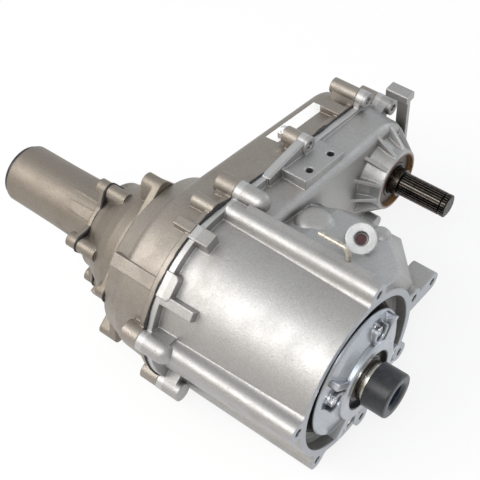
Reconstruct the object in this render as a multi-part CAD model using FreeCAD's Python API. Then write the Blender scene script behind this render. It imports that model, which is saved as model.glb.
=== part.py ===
import FreeCAD, Part
import math
import os

V = FreeCAD.Vector
os.makedirs("parts", exist_ok=True)

# A two-speed, chain-drive transfer case, in millimetres.
# The origin is the centre of the input flange face, on the main axis.
# +Y runs rearward along the main axis, +X towards the front output, +Z up.

# Main layout along Y
SHAFT_CENTRES = 265.5
PARTING_Y = 202.0
REAR_SEAT_Y = 278.0
TAIL_SEAT_Y = REAR_SEAT_Y + 72.0
TAIL_END_Y = TAIL_SEAT_Y + 158.0
SEALANT = 0.6
REAR_WALL_Y = REAR_SEAT_Y - 16.0
FIT = 0.05
HOLE_CLEARANCE = 0.15
RUNNING_GAP = 0.5

# Cast case, front half
MAIN_R = 119.3
OUTPUT_R = 71.3
WALL = 8.0
LIP_HEIGHT = 4.0
LIP_THICK = 8.0
FRONT_WALL_Y = 150.0
CHEST_R = 103.0
CHEST_DRAFT = 3.0
SNOUT_R_FRONT = 104.0
SNOUT_R_REAR = 108.0
SNOUT_BORE_R = 96.0
WEB_Y = 20.0
WEB_BACK_Y = 36.0

# Input flange
FLANGE_RECESS_R = 96.0
RETAINER_SEAT_R = 82.0
RETAINER_SEAT_Y = 14.0
FLANGE_HOLE_CIRCLE_R = 111.5
FLANGE_HOLE_R = 5.2
FLANGE_HOLES = ((9.0, 22.0), (74.0, 34.0), (167.5, 32.0), (229.0, 37.0), (278.0, 24.0), (324.0, 26.0))
FLANGE_LUG_R = 12.5
FLANGE_LUG_FLOOR = 3.0
LUG_VALLEY_R = 9.0
COLUMN_ANGLES = (74.0, 167.5, 229.0)
COLUMN_R = 12.5

# Input bearing retainer
RETAINER_R = 79.0
RETAINER_NOSE_R = 52.0
RETAINER_HUB_R = 50.0
RETAINER_FACE_Y = -14.0
RETAINER_STEP_Y = -7.5
RETAINER_RIM_Y = 3.0
RETAINER_BOLT_CIRCLE_R = 61.0
RETAINER_BOLT_ANGLES = (67.0, 157.0, 247.0, 337.0)
RETAINER_BOLT_R = 4.0
RETAINER_BOLT_HEAD = 13.0
RETAINER_POCKET_R = 9.5
RETAINER_POCKET_Y = -1.0
INPUT_SEAL_R = 37.5
INPUT_SEAL_THICK = 9.0
SEAL_RECESS = 5.5

# Ball and roller bearings: inner radius, outer radius, width
INPUT_BEARING = (25.0, 45.0, 20.0)
REAR_BEARING = (20.0, 40.0, 18.0)
OUTPUT_BEARING = (17.5, 36.0, 17.0)
OUTPUT_TAIL_BEARING = (15.0, 31.0, 16.0)
OUTPUT_TAIL_BEARING_Y = REAR_WALL_Y - 30.0
INPUT_BEARING_Y = 14.0
REAR_BEARING_Y = REAR_SEAT_Y + 8.0
OUTPUT_BEARING_Y = 132.0
ROLLERS = 10

# Input shaft and its shipping cap
INPUT_SHAFT_R = 24.0
INPUT_SHAFT_TIP_Y = -45.0
INPUT_SPLINE_R = 18.0
INPUT_SPLINES = 26
INPUT_SPLINE_END_Y = 22.0
CAP_R = 27.0
CAP_TIP_Y = -50.0
CAP_REAR_Y = -21.0
CAP_WALL = 2.0
CAP_FLOOR_Y = -29.0

# Planetary reduction
MODULE = 2.25
SUN_TEETH = 42
PLANET_TEETH = 15
ANNULUS_TEETH = 72
PLANETS = 6
GEAR_BACKLASH = 0.5
ADDENDUM = 1.95
DEDENDUM = 2.75
GEAR_Y = 51.0
GEAR_WIDTH = 32.0
CARRIER_R = 78.0
CARRIER_FRONT_R = 54.0
CARRIER_PLATE = 7.0
CARRIER_GAP = 1.0
CARRIER_BORE_R = 38.0
PLANET_PIN_R = 7.0
ANNULUS_R = 95.95

# Mainshaft
PILOT_R = 15.0
PILOT_Y = 58.0
MAINSHAFT_R = 19.0
MAINSHAFT_SPLINE_R = 20.5
MAINSHAFT_SPLINES = 26
MAINSHAFT_TAIL_R = 17.5
MAINSHAFT_TIP_Y = TAIL_END_Y - 53.0
SPLINE_DEPTH = 1.6

# Range and mode shift
RANGE_COLLAR_Y = 106.0
RANGE_COLLAR_WIDTH = 19.0
RANGE_COLLAR_R = 38.0
RANGE_NOSE_Y = 74.0
RANGE_NOSE_R = 28.0
RANGE_TOOTH_R = 34.0
RANGE_TOOTH_WIDTH = 8.0
RANGE_TRAVEL = 16.0
MODE_SLEEVE_Y = 152.0
MODE_SLEEVE_WIDTH = 20.0
MODE_SLEEVE_R = 40.0
MODE_TRAVEL = 9.0
FORK_GROOVE = 8.0
FORK_GROOVE_DEPTH = 6.0
FORK_THICK = 7.0
FORK_ARM = 8.0
RAIL_X = 112.0
RAIL_Z = -6.0
RAIL_R = 7.0
RAIL_FRONT_Y = 92.0
RAIL_REAR_Y = REAR_WALL_Y - 4.0
FORK_HUB_R = 12.0

# Sector and its shaft
SECTOR_X = 120.0
SECTOR_Y = 56.0
SECTOR_SHAFT_R = 8.0
SECTOR_TOP_Z = 74.0
SECTOR_TIP_Z = -92.0
SECTOR_PLATE_Z = 24.0
SECTOR_PLATE_THICK = 6.0
SECTOR_TRAVEL = 26.0
SECTOR_RIM = 4.5
SECTOR_PIN_R = 4.0

# Chain drive
CHAIN_CLEARANCE = 4.0
CHAIN_PITCH = 9.525
CHAIN_Y = 178.0
CHAIN_WIDTH = 34.0
CHAIN_BACK = 6.5
SPROCKET_GAP = 2.0
SPROCKET_HUB_R = 34.0
SPROCKET_NOSE_R = 26.0
SPROCKET_NOSE = 9.0
NEEDLE_R = 2.0

# Front output
OUTPUT_SNOUT_Y = 121.5
OUTPUT_SNOUT_R = 40.5
OUTPUT_SNOUT_BASE_R = 50.0
OUTPUT_SEAL_R = 37.0
OUTPUT_SEAL_THICK = 9.0
OUTPUT_SHAFT_R = 15.0
OUTPUT_SPLINES = 28
OUTPUT_COLLAR_R = 18.0
OUTPUT_TIP_Y = 47.0
GUSSETS = 12
GUSSET_FIRST = 33.0
GUSSET_THICK = 4.5
GUSSET_REACH = 62.0

# Mounting ear, drilled bosses and the lower mounting boss
EAR_X = 150.0
EAR_Z = 6.0
EAR_BOSS_R = 12.0
EAR_HOLE_R = 5.2
EAR_LENGTH = 30.0
TOP_HOLES_X = (142.0, 184.0)
TOP_HOLES_Y = 168.0
TOP_HOLE_R = 4.2
TOP_HOLE_DEPTH = 13.5
TOP_HOLE_CHAMFER = 1.5
LOWER_BOSS_X = 241.5
LOWER_BOSS_Z = -68.0
LOWER_BOSS_R = 11.0

# Shift housing, port and vent
HOUSING_FRONT_Y = 6.0
HOUSING_SHOULDER_Y = 50.0
HOUSING_BACK_Y = 116.0
HOUSING_WALL = 7.0
PORT_FACE = (87.0, 60.0, 101.0)
PORT_AIM = (-0.5, -0.32, 0.80)
PORT_SPOT_R = 17.5
PORT_HOLE_R = 8.0
PORT_HOLE_DEPTH = 14.0
PORT_INNER_R = 6.0
VENT_R = 3.2
VENT_BORE_R = 1.9
VENT_X = 42.0
VENT_Y = 47.0
VENT_FOOT_Z = 92.0
VENT_BEND_Z = 136.0
VENT_BEND_R = 9.0
VENT_END_Y = 84.0

# Rear half
REAR_DRAFT = 4.0
REAR_NECK_R = 103.0
REAR_ROUND = 13.0

# Rear bearing retainer, the dome behind the case
DOME_FLANGE_R = 88.0
DOME_FLANGE_THICK = 9.0
DOME_NECK_R = 58.0
DOME_WALL = 7.0
# Plain tabs and bolted ears: angle, centre radius, own radius, length behind the seat
DOME_TABS = ((82.0, 103.0, 10.5, 25.0), (216.0, 110.0, 9.0, 26.0))
DOME_EARS = ((166.0, 95.0, 9.0, 13.0), (256.0, 98.0, 10.0, 18.0), (300.0, 100.0, 10.0, 18.0),
             (350.0, 98.0, 10.0, 18.0))
DOME_BOLT_R = 4.0
DOME_BOLT_HEAD_R = 6.4

# Tail housing
TAIL_R = 39.0
TAIL_ROOT_R = 42.0
TAIL_BORE_R = 33.0
TAIL_FLANGE_R = 58.0
TAIL_FLANGE_THICK = 7.0
TAIL_BOLT_CIRCLE_R = 69.0
TAIL_BOLT_ANGLES = (92.0, 154.0, 226.0, 283.0, 10.0)
TAIL_BOSS_R = 9.5
TAIL_BOSS_END_Y = TAIL_SEAT_Y + 15.0
TAIL_BOSS_FRONT_Y = TAIL_SEAT_Y - 28.0
TAIL_BOLT_R = 4.0
TAIL_BOLT_HEAD_R = 6.2
TAIL_LIP = 5.0
TAIL_RIB_ANGLES = (45.0, 93.0, 127.0, 195.0, 250.0, 310.0)
TAIL_RIB_END_Y = TAIL_SEAT_Y + 82.0
BUSHING_BORE_R = 24.0
BUSHING_R = 27.0
BUSHING_LENGTH = 38.0
TAIL_SEAL_THICK = 11.0

# Case bolts round the parting: centre, boss radius, front end of the boss, rear end of the boss
CASE_BOLT_R = 5.0
CASE_BOLT_HEAD = 15.0
CASE_BOLT_HEAD_HEIGHT = 7.0
CASE_SOCKET_R = 6.8
CASE_SOCKET_HEIGHT = 6.0
SUNK = 3.0
BOLT_REACH = 24.0
MAIN_BOLTS = ((64.0, 126.0, 13.0, 160.0, 228.0), (166.0, 123.0, 13.0, 160.0, 224.0),
              (215.0, 124.0, 12.0, 170.0, 226.0), (262.0, 124.0, 12.0, 170.0, 226.0))
OUTPUT_BOLTS = ((70.0, 82.0, 10.5, 188.0, 240.0), (30.0, 81.0, 10.5, 176.0, 226.0),
                (-12.0, 80.0, 10.5, 176.0, 226.0), (-68.0, 80.0, 10.5, 176.0, 226.0))
WALL_BOLTS = ((170.0, 1, 9.0, 11.0, 188.0, 222.0), (178.0, -1, 10.5, 11.0, 180.0, 226.0),
              (92.0, -1, 10.5, 11.0, 176.0, 226.0))

# Oil pump
PUMP_R = 52.0
PUMP_WIDTH = 15.0
PUMP_ROTOR_R = 33.0
SHAFT_WINDOW_R = 30.0

# Underside feet, drain and fill plugs
PAD_Z = -136.0
PLUG_R = 9.0
PLUG_HEX = 17.0


def polar(radius, degrees, x=0.0, z=0.0):
    a = math.radians(degrees)
    return x + radius * math.cos(a), z + radius * math.sin(a)


def rod(x, z, radius, y0, y1):
    return Part.makeCylinder(radius, y1 - y0, V(x, y0, z), V(0, 1, 0))


def tube(x, z, outer, inner, y0, y1):
    return rod(x, z, outer, y0, y1).cut(rod(x, z, inner, y0 - 1.0, y1 + 1.0))


def turned(profile, x=0.0, z=0.0):
    """A solid turned about the Y line through (x, z), from (radius, y) pairs."""
    points = [V(r, y, 0) for r, y in profile]
    face = Part.Face(Part.makePolygon(points + points[:1]))
    solid = face.revolve(V(0, 0, 0), V(0, 1, 0), 360)
    solid.translate(V(x, 0, z))
    return solid


def prism(outline, y0, y1):
    """An XZ outline carried along Y."""
    points = [V(x, y0, z) for x, z in outline]
    face = Part.Face(Part.makePolygon(points + points[:1]))
    return face.extrude(V(0, y1 - y0, 0))


def belt_wire(y, r1, r2, x1=0.0, z1=0.0, x2=SHAFT_CENTRES, z2=0.0):
    """Two circles in the plane y, joined by their outer tangents."""
    heading = math.atan2(z2 - z1, x2 - x1)
    lean = math.asin((r1 - r2) / math.hypot(x2 - x1, z2 - z1))
    upper = heading + math.pi / 2 - lean
    lower = heading - math.pi / 2 + lean

    def rim(x, z, r, a):
        return V(x + r * math.cos(a), y, z + r * math.sin(a))

    top = Part.LineSegment(rim(x1, z1, r1, upper), rim(x2, z2, r2, upper))
    nose = Part.Arc(rim(x2, z2, r2, upper), rim(x2, z2, r2, heading), rim(x2, z2, r2, lower))
    under = Part.LineSegment(rim(x2, z2, r2, lower), rim(x1, z1, r1, lower))
    heel = Part.Arc(rim(x1, z1, r1, lower), rim(x1, z1, r1, heading + math.pi), rim(x1, z1, r1, upper))
    return Part.Wire([top.toShape(), nose.toShape(), under.toShape(), heel.toShape()])


def belt(y0, y1, r1, r2, x2=SHAFT_CENTRES, z2=0.0, x1=0.0, z1=0.0):
    return Part.Face(belt_wire(y0, r1, r2, x1, z1, x2, z2)).extrude(V(0, y1 - y0, 0))


def tapered_belt(y0, y1, r1, r2, grow):
    """The belt shape, wider by grow at y1, as a casting's draft leaves it."""
    wires = [belt_wire(y0, r1, r2), belt_wire(y1, r1 + grow, r2 + grow)]
    return Part.makeLoft(wires, True, True)


def lug(angle, centre_r, lug_r, root_r, y0, y1):
    """A rounded lug that runs tangentially into the round body."""
    x, z = polar(centre_r, angle)
    return belt(y0, y1, root_r, lug_r, x, z)


def valley_lug(angle, centre_r, lug_r, body_r, y0, y1):
    """A round lug whose flanks run into the round body through concave valleys."""
    x, z = polar(centre_r, angle)
    reach = body_r + LUG_VALLEY_R - 0.6
    span = lug_r + LUG_VALLEY_R
    swing = math.degrees(math.acos((reach ** 2 + centre_r ** 2 - span ** 2) / (2 * reach * centre_r)))
    valleys = [polar(reach, angle + side * swing) for side in (1, -1)]
    web = prism([(x, z), valleys[0], (0, 0), valleys[1]], y0, y1)
    web = web.cut([rod(vx, vz, LUG_VALLEY_R, y0 - 1, y1 + 1) for vx, vz in valleys])
    return web.fuse(rod(x, z, lug_r, y0, y1))


def radial_block(angle, inner, outer, width, y0, y1):
    """A block standing on the round body at an angle about the main axis."""
    block = Part.makeBox(outer - inner, y1 - y0, width, V(inner, y0, -width / 2))
    block.rotate(V(0, 0, 0), V(0, 1, 0), -angle)
    return block


def domed_rod(x, z, radius, y0, y1):
    """A boss with a round nose at its y0 end."""
    return rod(x, z, radius, y0 + radius, y1).fuse(Part.makeSphere(radius, V(x, y0 + radius, z)))


def soften(solid, radius, test):
    edges = [e for e in solid.Edges if test(e)]
    return solid.makeFillet(radius, edges)


def in_plane_y(edge, y):
    return all(abs(v.Y - y) < 0.01 for v in edge.Vertexes) and abs(edge.CenterOfMass.y - y) < 0.01


def hexagon(across, y0, y1, x, z):
    points = [polar(across / math.sqrt(3), 60 * k + 30, x, z) for k in range(6)]
    return prism(points, y0, y1)


def flange_bolt(x, z, radius, across, seat_y, height, end_y):
    """A flanged hex bolt: the head stands on seat_y, the shank goes on to end_y."""
    way = 1.0 if end_y > seat_y else -1.0
    head = hexagon(across, min(seat_y, seat_y - way * height), max(seat_y, seat_y - way * height), x, z)
    washer = rod(x, z, across * 0.62, min(seat_y, seat_y - way * 1.6), max(seat_y, seat_y - way * 1.6))
    shank = rod(x, z, radius, min(seat_y, end_y), max(seat_y, end_y))
    return head.fuse([washer, shank]).removeSplitter()


def socket_screw(x, z, radius, head_r, seat_y, height, end_y):
    """A socket-head screw seated on seat_y: its head lies behind the seat, its shank goes on to end_y."""
    head = rod(x, z, head_r, seat_y, seat_y + height)
    socket = hexagon(head_r, seat_y + height * 0.4, seat_y + height + 1, x, z)
    return head.cut(socket).fuse(rod(x, z, radius, end_y, seat_y)).removeSplitter()


def top_wall_z(x, r=MAIN_R):
    """Height of the sloping top wall of the chain case over the shaft line."""
    slope = math.asin((MAIN_R - OUTPUT_R) / SHAFT_CENTRES)
    return (r - x * math.sin(slope)) / math.cos(slope)


# Gear teeth

def involute(angle):
    return math.tan(angle) - angle


def tooth_half_angle(teeth, radius, thickness):
    pitch_r = MODULE * teeth / 2
    base_r = pitch_r * math.cos(math.radians(20))
    pressure = math.acos(min(1.0, base_r / radius))
    return thickness / 2 / pitch_r + involute(math.radians(20)) - involute(pressure)


def gear_face(teeth, tip_r, root_r, thickness, start, steps):
    """Outline of an external gear with a tooth centred on the start angle."""
    points = []
    flank = [root_r + (tip_r - root_r) * k / steps for k in range(steps + 1)]
    for k in range(teeth):
        middle = math.radians(start) + 2 * math.pi * k / teeth
        for r in flank:
            a = middle - tooth_half_angle(teeth, r, thickness)
            points.append((r * math.cos(a), r * math.sin(a)))
        for r in reversed(flank):
            a = middle + tooth_half_angle(teeth, r, thickness)
            points.append((r * math.cos(a), r * math.sin(a)))
    return points


def moved(outline, x, z):
    return [(px + x, pz + z) for px, pz in outline]


def spline_outline(teeth, crest_r, root_r, x=0.0, z=0.0, fill=0.5):
    points = []
    pitch = 2 * math.pi / teeth
    for k in range(teeth):
        for r, share in ((root_r, -fill), (crest_r, -fill * 0.62), (crest_r, fill * 0.62), (root_r, fill)):
            a = pitch * (k + share / 2 * 1.25)
            points.append((x + r * math.cos(a), z + r * math.sin(a)))
    return points


SUN_R = MODULE * SUN_TEETH / 2
PLANET_R = MODULE * PLANET_TEETH / 2
RING_R = MODULE * ANNULUS_TEETH / 2
PLANET_ORBIT_R = SUN_R + PLANET_R
TOOTH = math.pi * MODULE / 2 - GEAR_BACKLASH / 2


# Case bolts

def case_bolt_list():
    """Every bolt of the case joint as x, z, boss radius, front end and rear end."""
    bolts = []
    for angle, ring_r, boss_r, front, rear in MAIN_BOLTS:
        bolts.append(polar(ring_r, angle) + (boss_r, front, rear))
    for angle, ring_r, boss_r, front, rear in OUTPUT_BOLTS:
        bolts.append(polar(ring_r, angle, SHAFT_CENTRES) + (boss_r, front, rear))
    for x, side, rise, boss_r, front, rear in WALL_BOLTS:
        bolts.append((x, side * (top_wall_z(x) + rise), boss_r, front, rear))
    return bolts


CASE_BOLTS = case_bolt_list()
PROUD_BOLT = len(MAIN_BOLTS) + len(OUTPUT_BOLTS)
FRONT_JOINT_Y = PARTING_Y - SEALANT / 2
REAR_JOINT_Y = PARTING_Y + SEALANT / 2
CAVITY_R = MAIN_R - LIP_HEIGHT - 3 - WALL
OUTPUT_CAVITY_R = OUTPUT_R - LIP_HEIGHT - 3 - WALL


def boss_foot(x, z, boss_r, y0, y1):
    """The web that ties a bolt boss into the case wall below it."""
    if x < 100:
        foot_x, foot_z = polar(MAIN_R - 20, math.degrees(math.atan2(z, x)))
    elif x > 220:
        foot_x, foot_z = polar(OUTPUT_R - 16, math.degrees(math.atan2(z, x - SHAFT_CENTRES)), SHAFT_CENTRES)
    else:
        foot_x, foot_z = x, z - math.copysign(26, z)
    return belt(y0, y1, boss_r + 0.5, boss_r - 1.0, x, z, foot_x, foot_z)


# Front half of the case

def shift_housing():
    """The blister on the +X side of the snout that holds the sector and the forks."""
    front = [(40, 96), (84, 82), (112, 40), (112, -30), (84, -58)]
    back = [(40, 100), (125, 78), (158, 40), (158, -38), (84, -72)]

    def loop(outline, y):
        points = [V(x, y, z) for x, z in outline]
        return Part.makePolygon(points + points[:1])

    slope = Part.makeLoft([loop(front, HOUSING_FRONT_Y), loop(back, HOUSING_SHOULDER_Y)], True, True)
    block = prism(back, HOUSING_SHOULDER_Y, HOUSING_BACK_Y)
    tail = Part.makeLoft([loop(back, HOUSING_BACK_Y), loop([(x * 0.9, z * 0.86) for x, z in back],
                                                          FRONT_WALL_Y + 10)], True, True)
    return slope.fuse([block, tail]).removeSplitter()


def housing_cavity():
    outline = [(70, 40), (128, 62), (150, 36), (150, -30), (84, -58), (60, -40)]
    return prism(outline, WEB_BACK_Y + 58, FRONT_WALL_Y + WALL + 2)


def sector_pocket():
    """Room in front of the forks where the sector swings on its shaft."""
    outline = [(84, 34), (150, 34), (150, 10), (84, 10)]
    return prism(outline, SECTOR_Y - 16, WEB_BACK_Y + 60)


def bolt_hole_front(front):
    """Where a bolt hole starts in the front half: out through a short boss, blind in a long one."""
    blind = PARTING_Y - BOLT_REACH - 4
    return front - 1 if front > blind - 2 else blind


def output_snout():
    body = turned([(0, OUTPUT_SNOUT_Y), (OUTPUT_SNOUT_R - 1, OUTPUT_SNOUT_Y),
                   (OUTPUT_SNOUT_R, OUTPUT_SNOUT_Y + 1), (OUTPUT_SNOUT_R + 1.5, OUTPUT_SNOUT_Y + 14),
                   (OUTPUT_SNOUT_BASE_R, FRONT_WALL_Y + 6), (0, FRONT_WALL_Y + 6)], SHAFT_CENTRES)
    fins = []
    for k in range(GUSSETS):
        points = [V(OUTPUT_SNOUT_R - 6, OUTPUT_SNOUT_Y + 2.5, -GUSSET_THICK / 2),
                  V(OUTPUT_SNOUT_R + 0.6, OUTPUT_SNOUT_Y + 2.5, -GUSSET_THICK / 2),
                  V(GUSSET_REACH, FRONT_WALL_Y + 2, -GUSSET_THICK / 2),
                  V(OUTPUT_SNOUT_R - 6, FRONT_WALL_Y + 6, -GUSSET_THICK / 2)]
        fin = Part.Face(Part.makePolygon(points + points[:1])).extrude(V(0, 0, GUSSET_THICK))
        fin.rotate(V(0, 0, 0), V(0, 1, 0), -(GUSSET_FIRST + 360.0 / GUSSETS * k))
        fin.translate(V(SHAFT_CENTRES, 0, 0))
        fins.append(fin)
    return body.fuse(fins)


def port_tool(radius, start, length):
    aim = V(*PORT_AIM)
    aim.normalize()
    return Part.makeCylinder(radius, length, V(*PORT_FACE) + aim * start, aim * -1)


def end_bracket():
    """The upright plate and block at the far end of the chain case."""
    x0 = SHAFT_CENTRES + OUTPUT_R - 6
    plate = Part.makeBox(6, 15, 86, V(x0, FRONT_WALL_Y + 3, -20))
    block = Part.makeBox(17, 31, 11, V(x0 - 5, FRONT_WALL_Y + 2, 65.5))
    block = soften(block, 1.5, lambda e: e.BoundBox.YLength > 20 and e.BoundBox.ZMax > 74)
    return plate.fuse(block)


def front_bosses():
    shapes = []
    for x, z, boss_r, front, rear in CASE_BOLTS:
        long_finger = boss_r >= 13
        make = domed_rod if long_finger else rod
        shapes.append(make(x, z, boss_r, front, FRONT_JOINT_Y))
        shapes.append(boss_foot(x, z, boss_r, max(front + boss_r * 0.6, FRONT_WALL_Y + 14), FRONT_JOINT_Y))
    return shapes


def front_details():
    """Pry tabs, pads, ribs and drilled bosses on the outside of the front half."""
    pry = radial_block(101, 96, MAIN_R + 3.7, 18, 176, FRONT_JOINT_Y)
    pad_foot, pad_top = 100, MAIN_R + 0.6
    pad = radial_block(132, pad_foot, pad_top, 30, 184, FRONT_JOINT_Y)
    pad = soften(pad, 6, lambda e: e.BoundBox.YLength < 0.1 and e.BoundBox.YMax < 185 and
                 abs(math.hypot(e.CenterOfMass.x, e.CenterOfMass.z) - (pad_foot + pad_top) / 2) < 8)
    tee = radial_block(139.5, 98, MAIN_R - 0.5, 12, 152, FRONT_JOINT_Y)
    fin = prism([(96, 84), (96, 104.5), (168, 108), (168, 84)], 190, FRONT_JOINT_Y)
    plateau = prism([(121, top_wall_z(121)), (197, top_wall_z(197)), (197, 60), (121, 60)],
                    157, FRONT_JOINT_Y)
    curb = prism([(119, 86), (119, 101.5), (124, 100.6), (124, 86)], 157, 190)
    bulge = Part.makeCylinder(24, 56, V(88, 122, 36), V(0, 0, 1))
    bulge = soften(bulge, 15, lambda e: e.BoundBox.ZMin > 91)
    side_ear = belt(0, EAR_LENGTH, 9, EAR_BOSS_R, EAR_X, EAR_Z, 108, 8)
    mount = rod(LOWER_BOSS_X, LOWER_BOSS_Z, LOWER_BOSS_R, 132, PARTING_Y - 12)
    sector_boss = Part.makeCylinder(13, 66, V(SECTOR_X, SECTOR_Y, 18), V(0, 0, 1))
    sector_boss = soften(sector_boss, 9, lambda e: e.BoundBox.ZMin > 83)
    lower_boss = Part.makeCylinder(14, 44, V(SECTOR_X, SECTOR_Y, SECTOR_TIP_Z + 16), V(0, 0, 1))
    foot = prism([(-62, -70), (-62, PAD_Z), (-22, PAD_Z), (-22, -70)], 150, 192)
    foot = soften(foot, 4, lambda e: e.BoundBox.YLength > 30)
    ledge = prism([(27, 100), (30, MAIN_R - 0.1), (42.5, MAIN_R + 0.7), (45, 100)], 14, 176)
    return [pry, pad, tee, fin, plateau, curb, bulge, side_ear, mount, sector_boss, lower_boss, foot, ledge]


def front_case_half():
    snout = turned([(0, 0), (SNOUT_R_FRONT, 0), (SNOUT_R_REAR, PARTING_Y - 6), (0, PARTING_Y - 6)])
    columns = [valley_lug(a, FLANGE_HOLE_CIRCLE_R, COLUMN_R, SNOUT_R_FRONT, 0, PARTING_Y - 6)
               for a in COLUMN_ANGLES]
    lugs = [valley_lug(a, FLANGE_HOLE_CIRCLE_R, FLANGE_LUG_R, SNOUT_R_FRONT, 0, depth + FLANGE_LUG_FLOOR)
            for a, depth in FLANGE_HOLES if a not in COLUMN_ANGLES]
    chest = tapered_belt(FRONT_WALL_Y, PARTING_Y - 4, CHEST_R, OUTPUT_R - LIP_HEIGHT - 3, CHEST_DRAFT)
    chest = soften(chest, 11, lambda e: in_plane_y(e, FRONT_WALL_Y))
    lip = belt(FRONT_JOINT_Y - LIP_THICK, FRONT_JOINT_Y, MAIN_R, OUTPUT_R)
    forms = [chest, lip, shift_housing(), output_snout(), end_bracket(), port_tool(PORT_SPOT_R, 0, 40)]
    outside = snout.fuse(columns + lugs + forms + front_bosses() + front_details())
    web_rim = turned([(SNOUT_BORE_R - 3, WEB_Y - 1), (SNOUT_BORE_R - 3, WEB_Y), (FLANGE_RECESS_R, WEB_Y - 6),
                      (FLANGE_RECESS_R, -1), (0, -1), (0, RETAINER_SEAT_Y),
                      (RETAINER_SEAT_R, RETAINER_SEAT_Y), (RETAINER_SEAT_R + 2, WEB_Y - 1)])
    inner, outer, width = INPUT_BEARING
    tools = [web_rim, rod(0, 0, outer + FIT / 2, RETAINER_SEAT_Y - 1, RETAINER_SEAT_Y + width + 0.2),
             rod(0, 0, outer - 6, 0, WEB_BACK_Y + 1),
             rod(0, 0, SNOUT_BORE_R, WEB_BACK_Y, FRONT_WALL_Y + WALL + 1),
             belt(FRONT_WALL_Y + WALL, PARTING_Y + 1, SNOUT_BORE_R + 1, OUTPUT_CAVITY_R),
             housing_cavity(), sector_pocket()]
    for a, depth in FLANGE_HOLES:
        x, z = polar(FLANGE_HOLE_CIRCLE_R, a)
        tools.append(rod(x, z, FLANGE_HOLE_R, -1, depth))
    for a in RETAINER_BOLT_ANGLES:
        x, z = polar(RETAINER_BOLT_CIRCLE_R, a)
        tools.append(rod(x, z, RETAINER_BOLT_R + HOLE_CLEARANCE, RETAINER_SEAT_Y - 1, WEB_BACK_Y - 3))
    for x, z, boss_r, front, rear in CASE_BOLTS:
        tools.append(rod(x, z, CASE_BOLT_R + HOLE_CLEARANCE, bolt_hole_front(front), PARTING_Y + 1))
    inner, outer, width = OUTPUT_BEARING
    tools.append(rod(SHAFT_CENTRES, 0, OUTPUT_SEAL_R + FIT / 2, OUTPUT_SNOUT_Y - 1, OUTPUT_BEARING_Y))
    tools.append(rod(SHAFT_CENTRES, 0, outer + FIT / 2, OUTPUT_BEARING_Y - 0.1, OUTPUT_BEARING_Y + width))
    tools.append(rod(SHAFT_CENTRES, 0, outer - 6, OUTPUT_BEARING_Y, FRONT_WALL_Y + WALL + 1))
    tools.append(port_tool(PORT_HOLE_R, 2, PORT_HOLE_DEPTH + 2))
    tools.append(port_tool(PORT_INNER_R, 1, 56))
    tools.append(Part.makeCylinder(SECTOR_SHAFT_R + FIT, SECTOR_TOP_Z - SECTOR_TIP_Z + 4,
                                   V(SECTOR_X, SECTOR_Y, SECTOR_TIP_Z - 4), V(0, 0, 1)))
    for x in TOP_HOLES_X:
        z = top_wall_z(x)
        tools.append(Part.makeCylinder(TOP_HOLE_R, TOP_HOLE_DEPTH + 1, V(x, TOP_HOLES_Y, z + 1), V(0, 0, -1)))
        tools.append(Part.makeCone(TOP_HOLE_R, TOP_HOLE_R + 3, TOP_HOLE_CHAMFER + 1.5,
                                   V(x, TOP_HOLES_Y, z - TOP_HOLE_CHAMFER), V(0, 0, 1)))
    vent_foot = V(VENT_X, VENT_Y, VENT_FOOT_Z - 14)
    tools.append(Part.makeCylinder(VENT_R + HOLE_CLEARANCE, 60, vent_foot, V(0, 0, 1)))
    tools.append(rod(EAR_X, EAR_Z, EAR_HOLE_R, -1, EAR_LENGTH + 1))
    case = outside.cut(tools)
    rail_seat = rod(RAIL_X, RAIL_Z, RAIL_R + 6, RAIL_FRONT_Y - 8, RAIL_FRONT_Y + 8).fuse(
        Part.makeBox(30, 16, 20, V(RAIL_X + 4, RAIL_FRONT_Y - 8, RAIL_Z - 10)))
    case = case.fuse(rail_seat).cut(rod(RAIL_X, RAIL_Z, RAIL_R + FIT, RAIL_FRONT_Y - 4, RAIL_FRONT_Y + 20))
    return case.removeSplitter()


# Rear half of the case

def rear_outside(grow=0.0):
    """The drafted chain case shell behind the joint."""
    r1 = MAIN_R - LIP_HEIGHT + grow
    r2 = OUTPUT_R - LIP_HEIGHT + grow
    shell = tapered_belt(PARTING_Y, REAR_WALL_Y, r1, r2, -REAR_DRAFT)
    return soften(shell, REAR_ROUND, lambda e: in_plane_y(e, REAR_WALL_Y))


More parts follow.
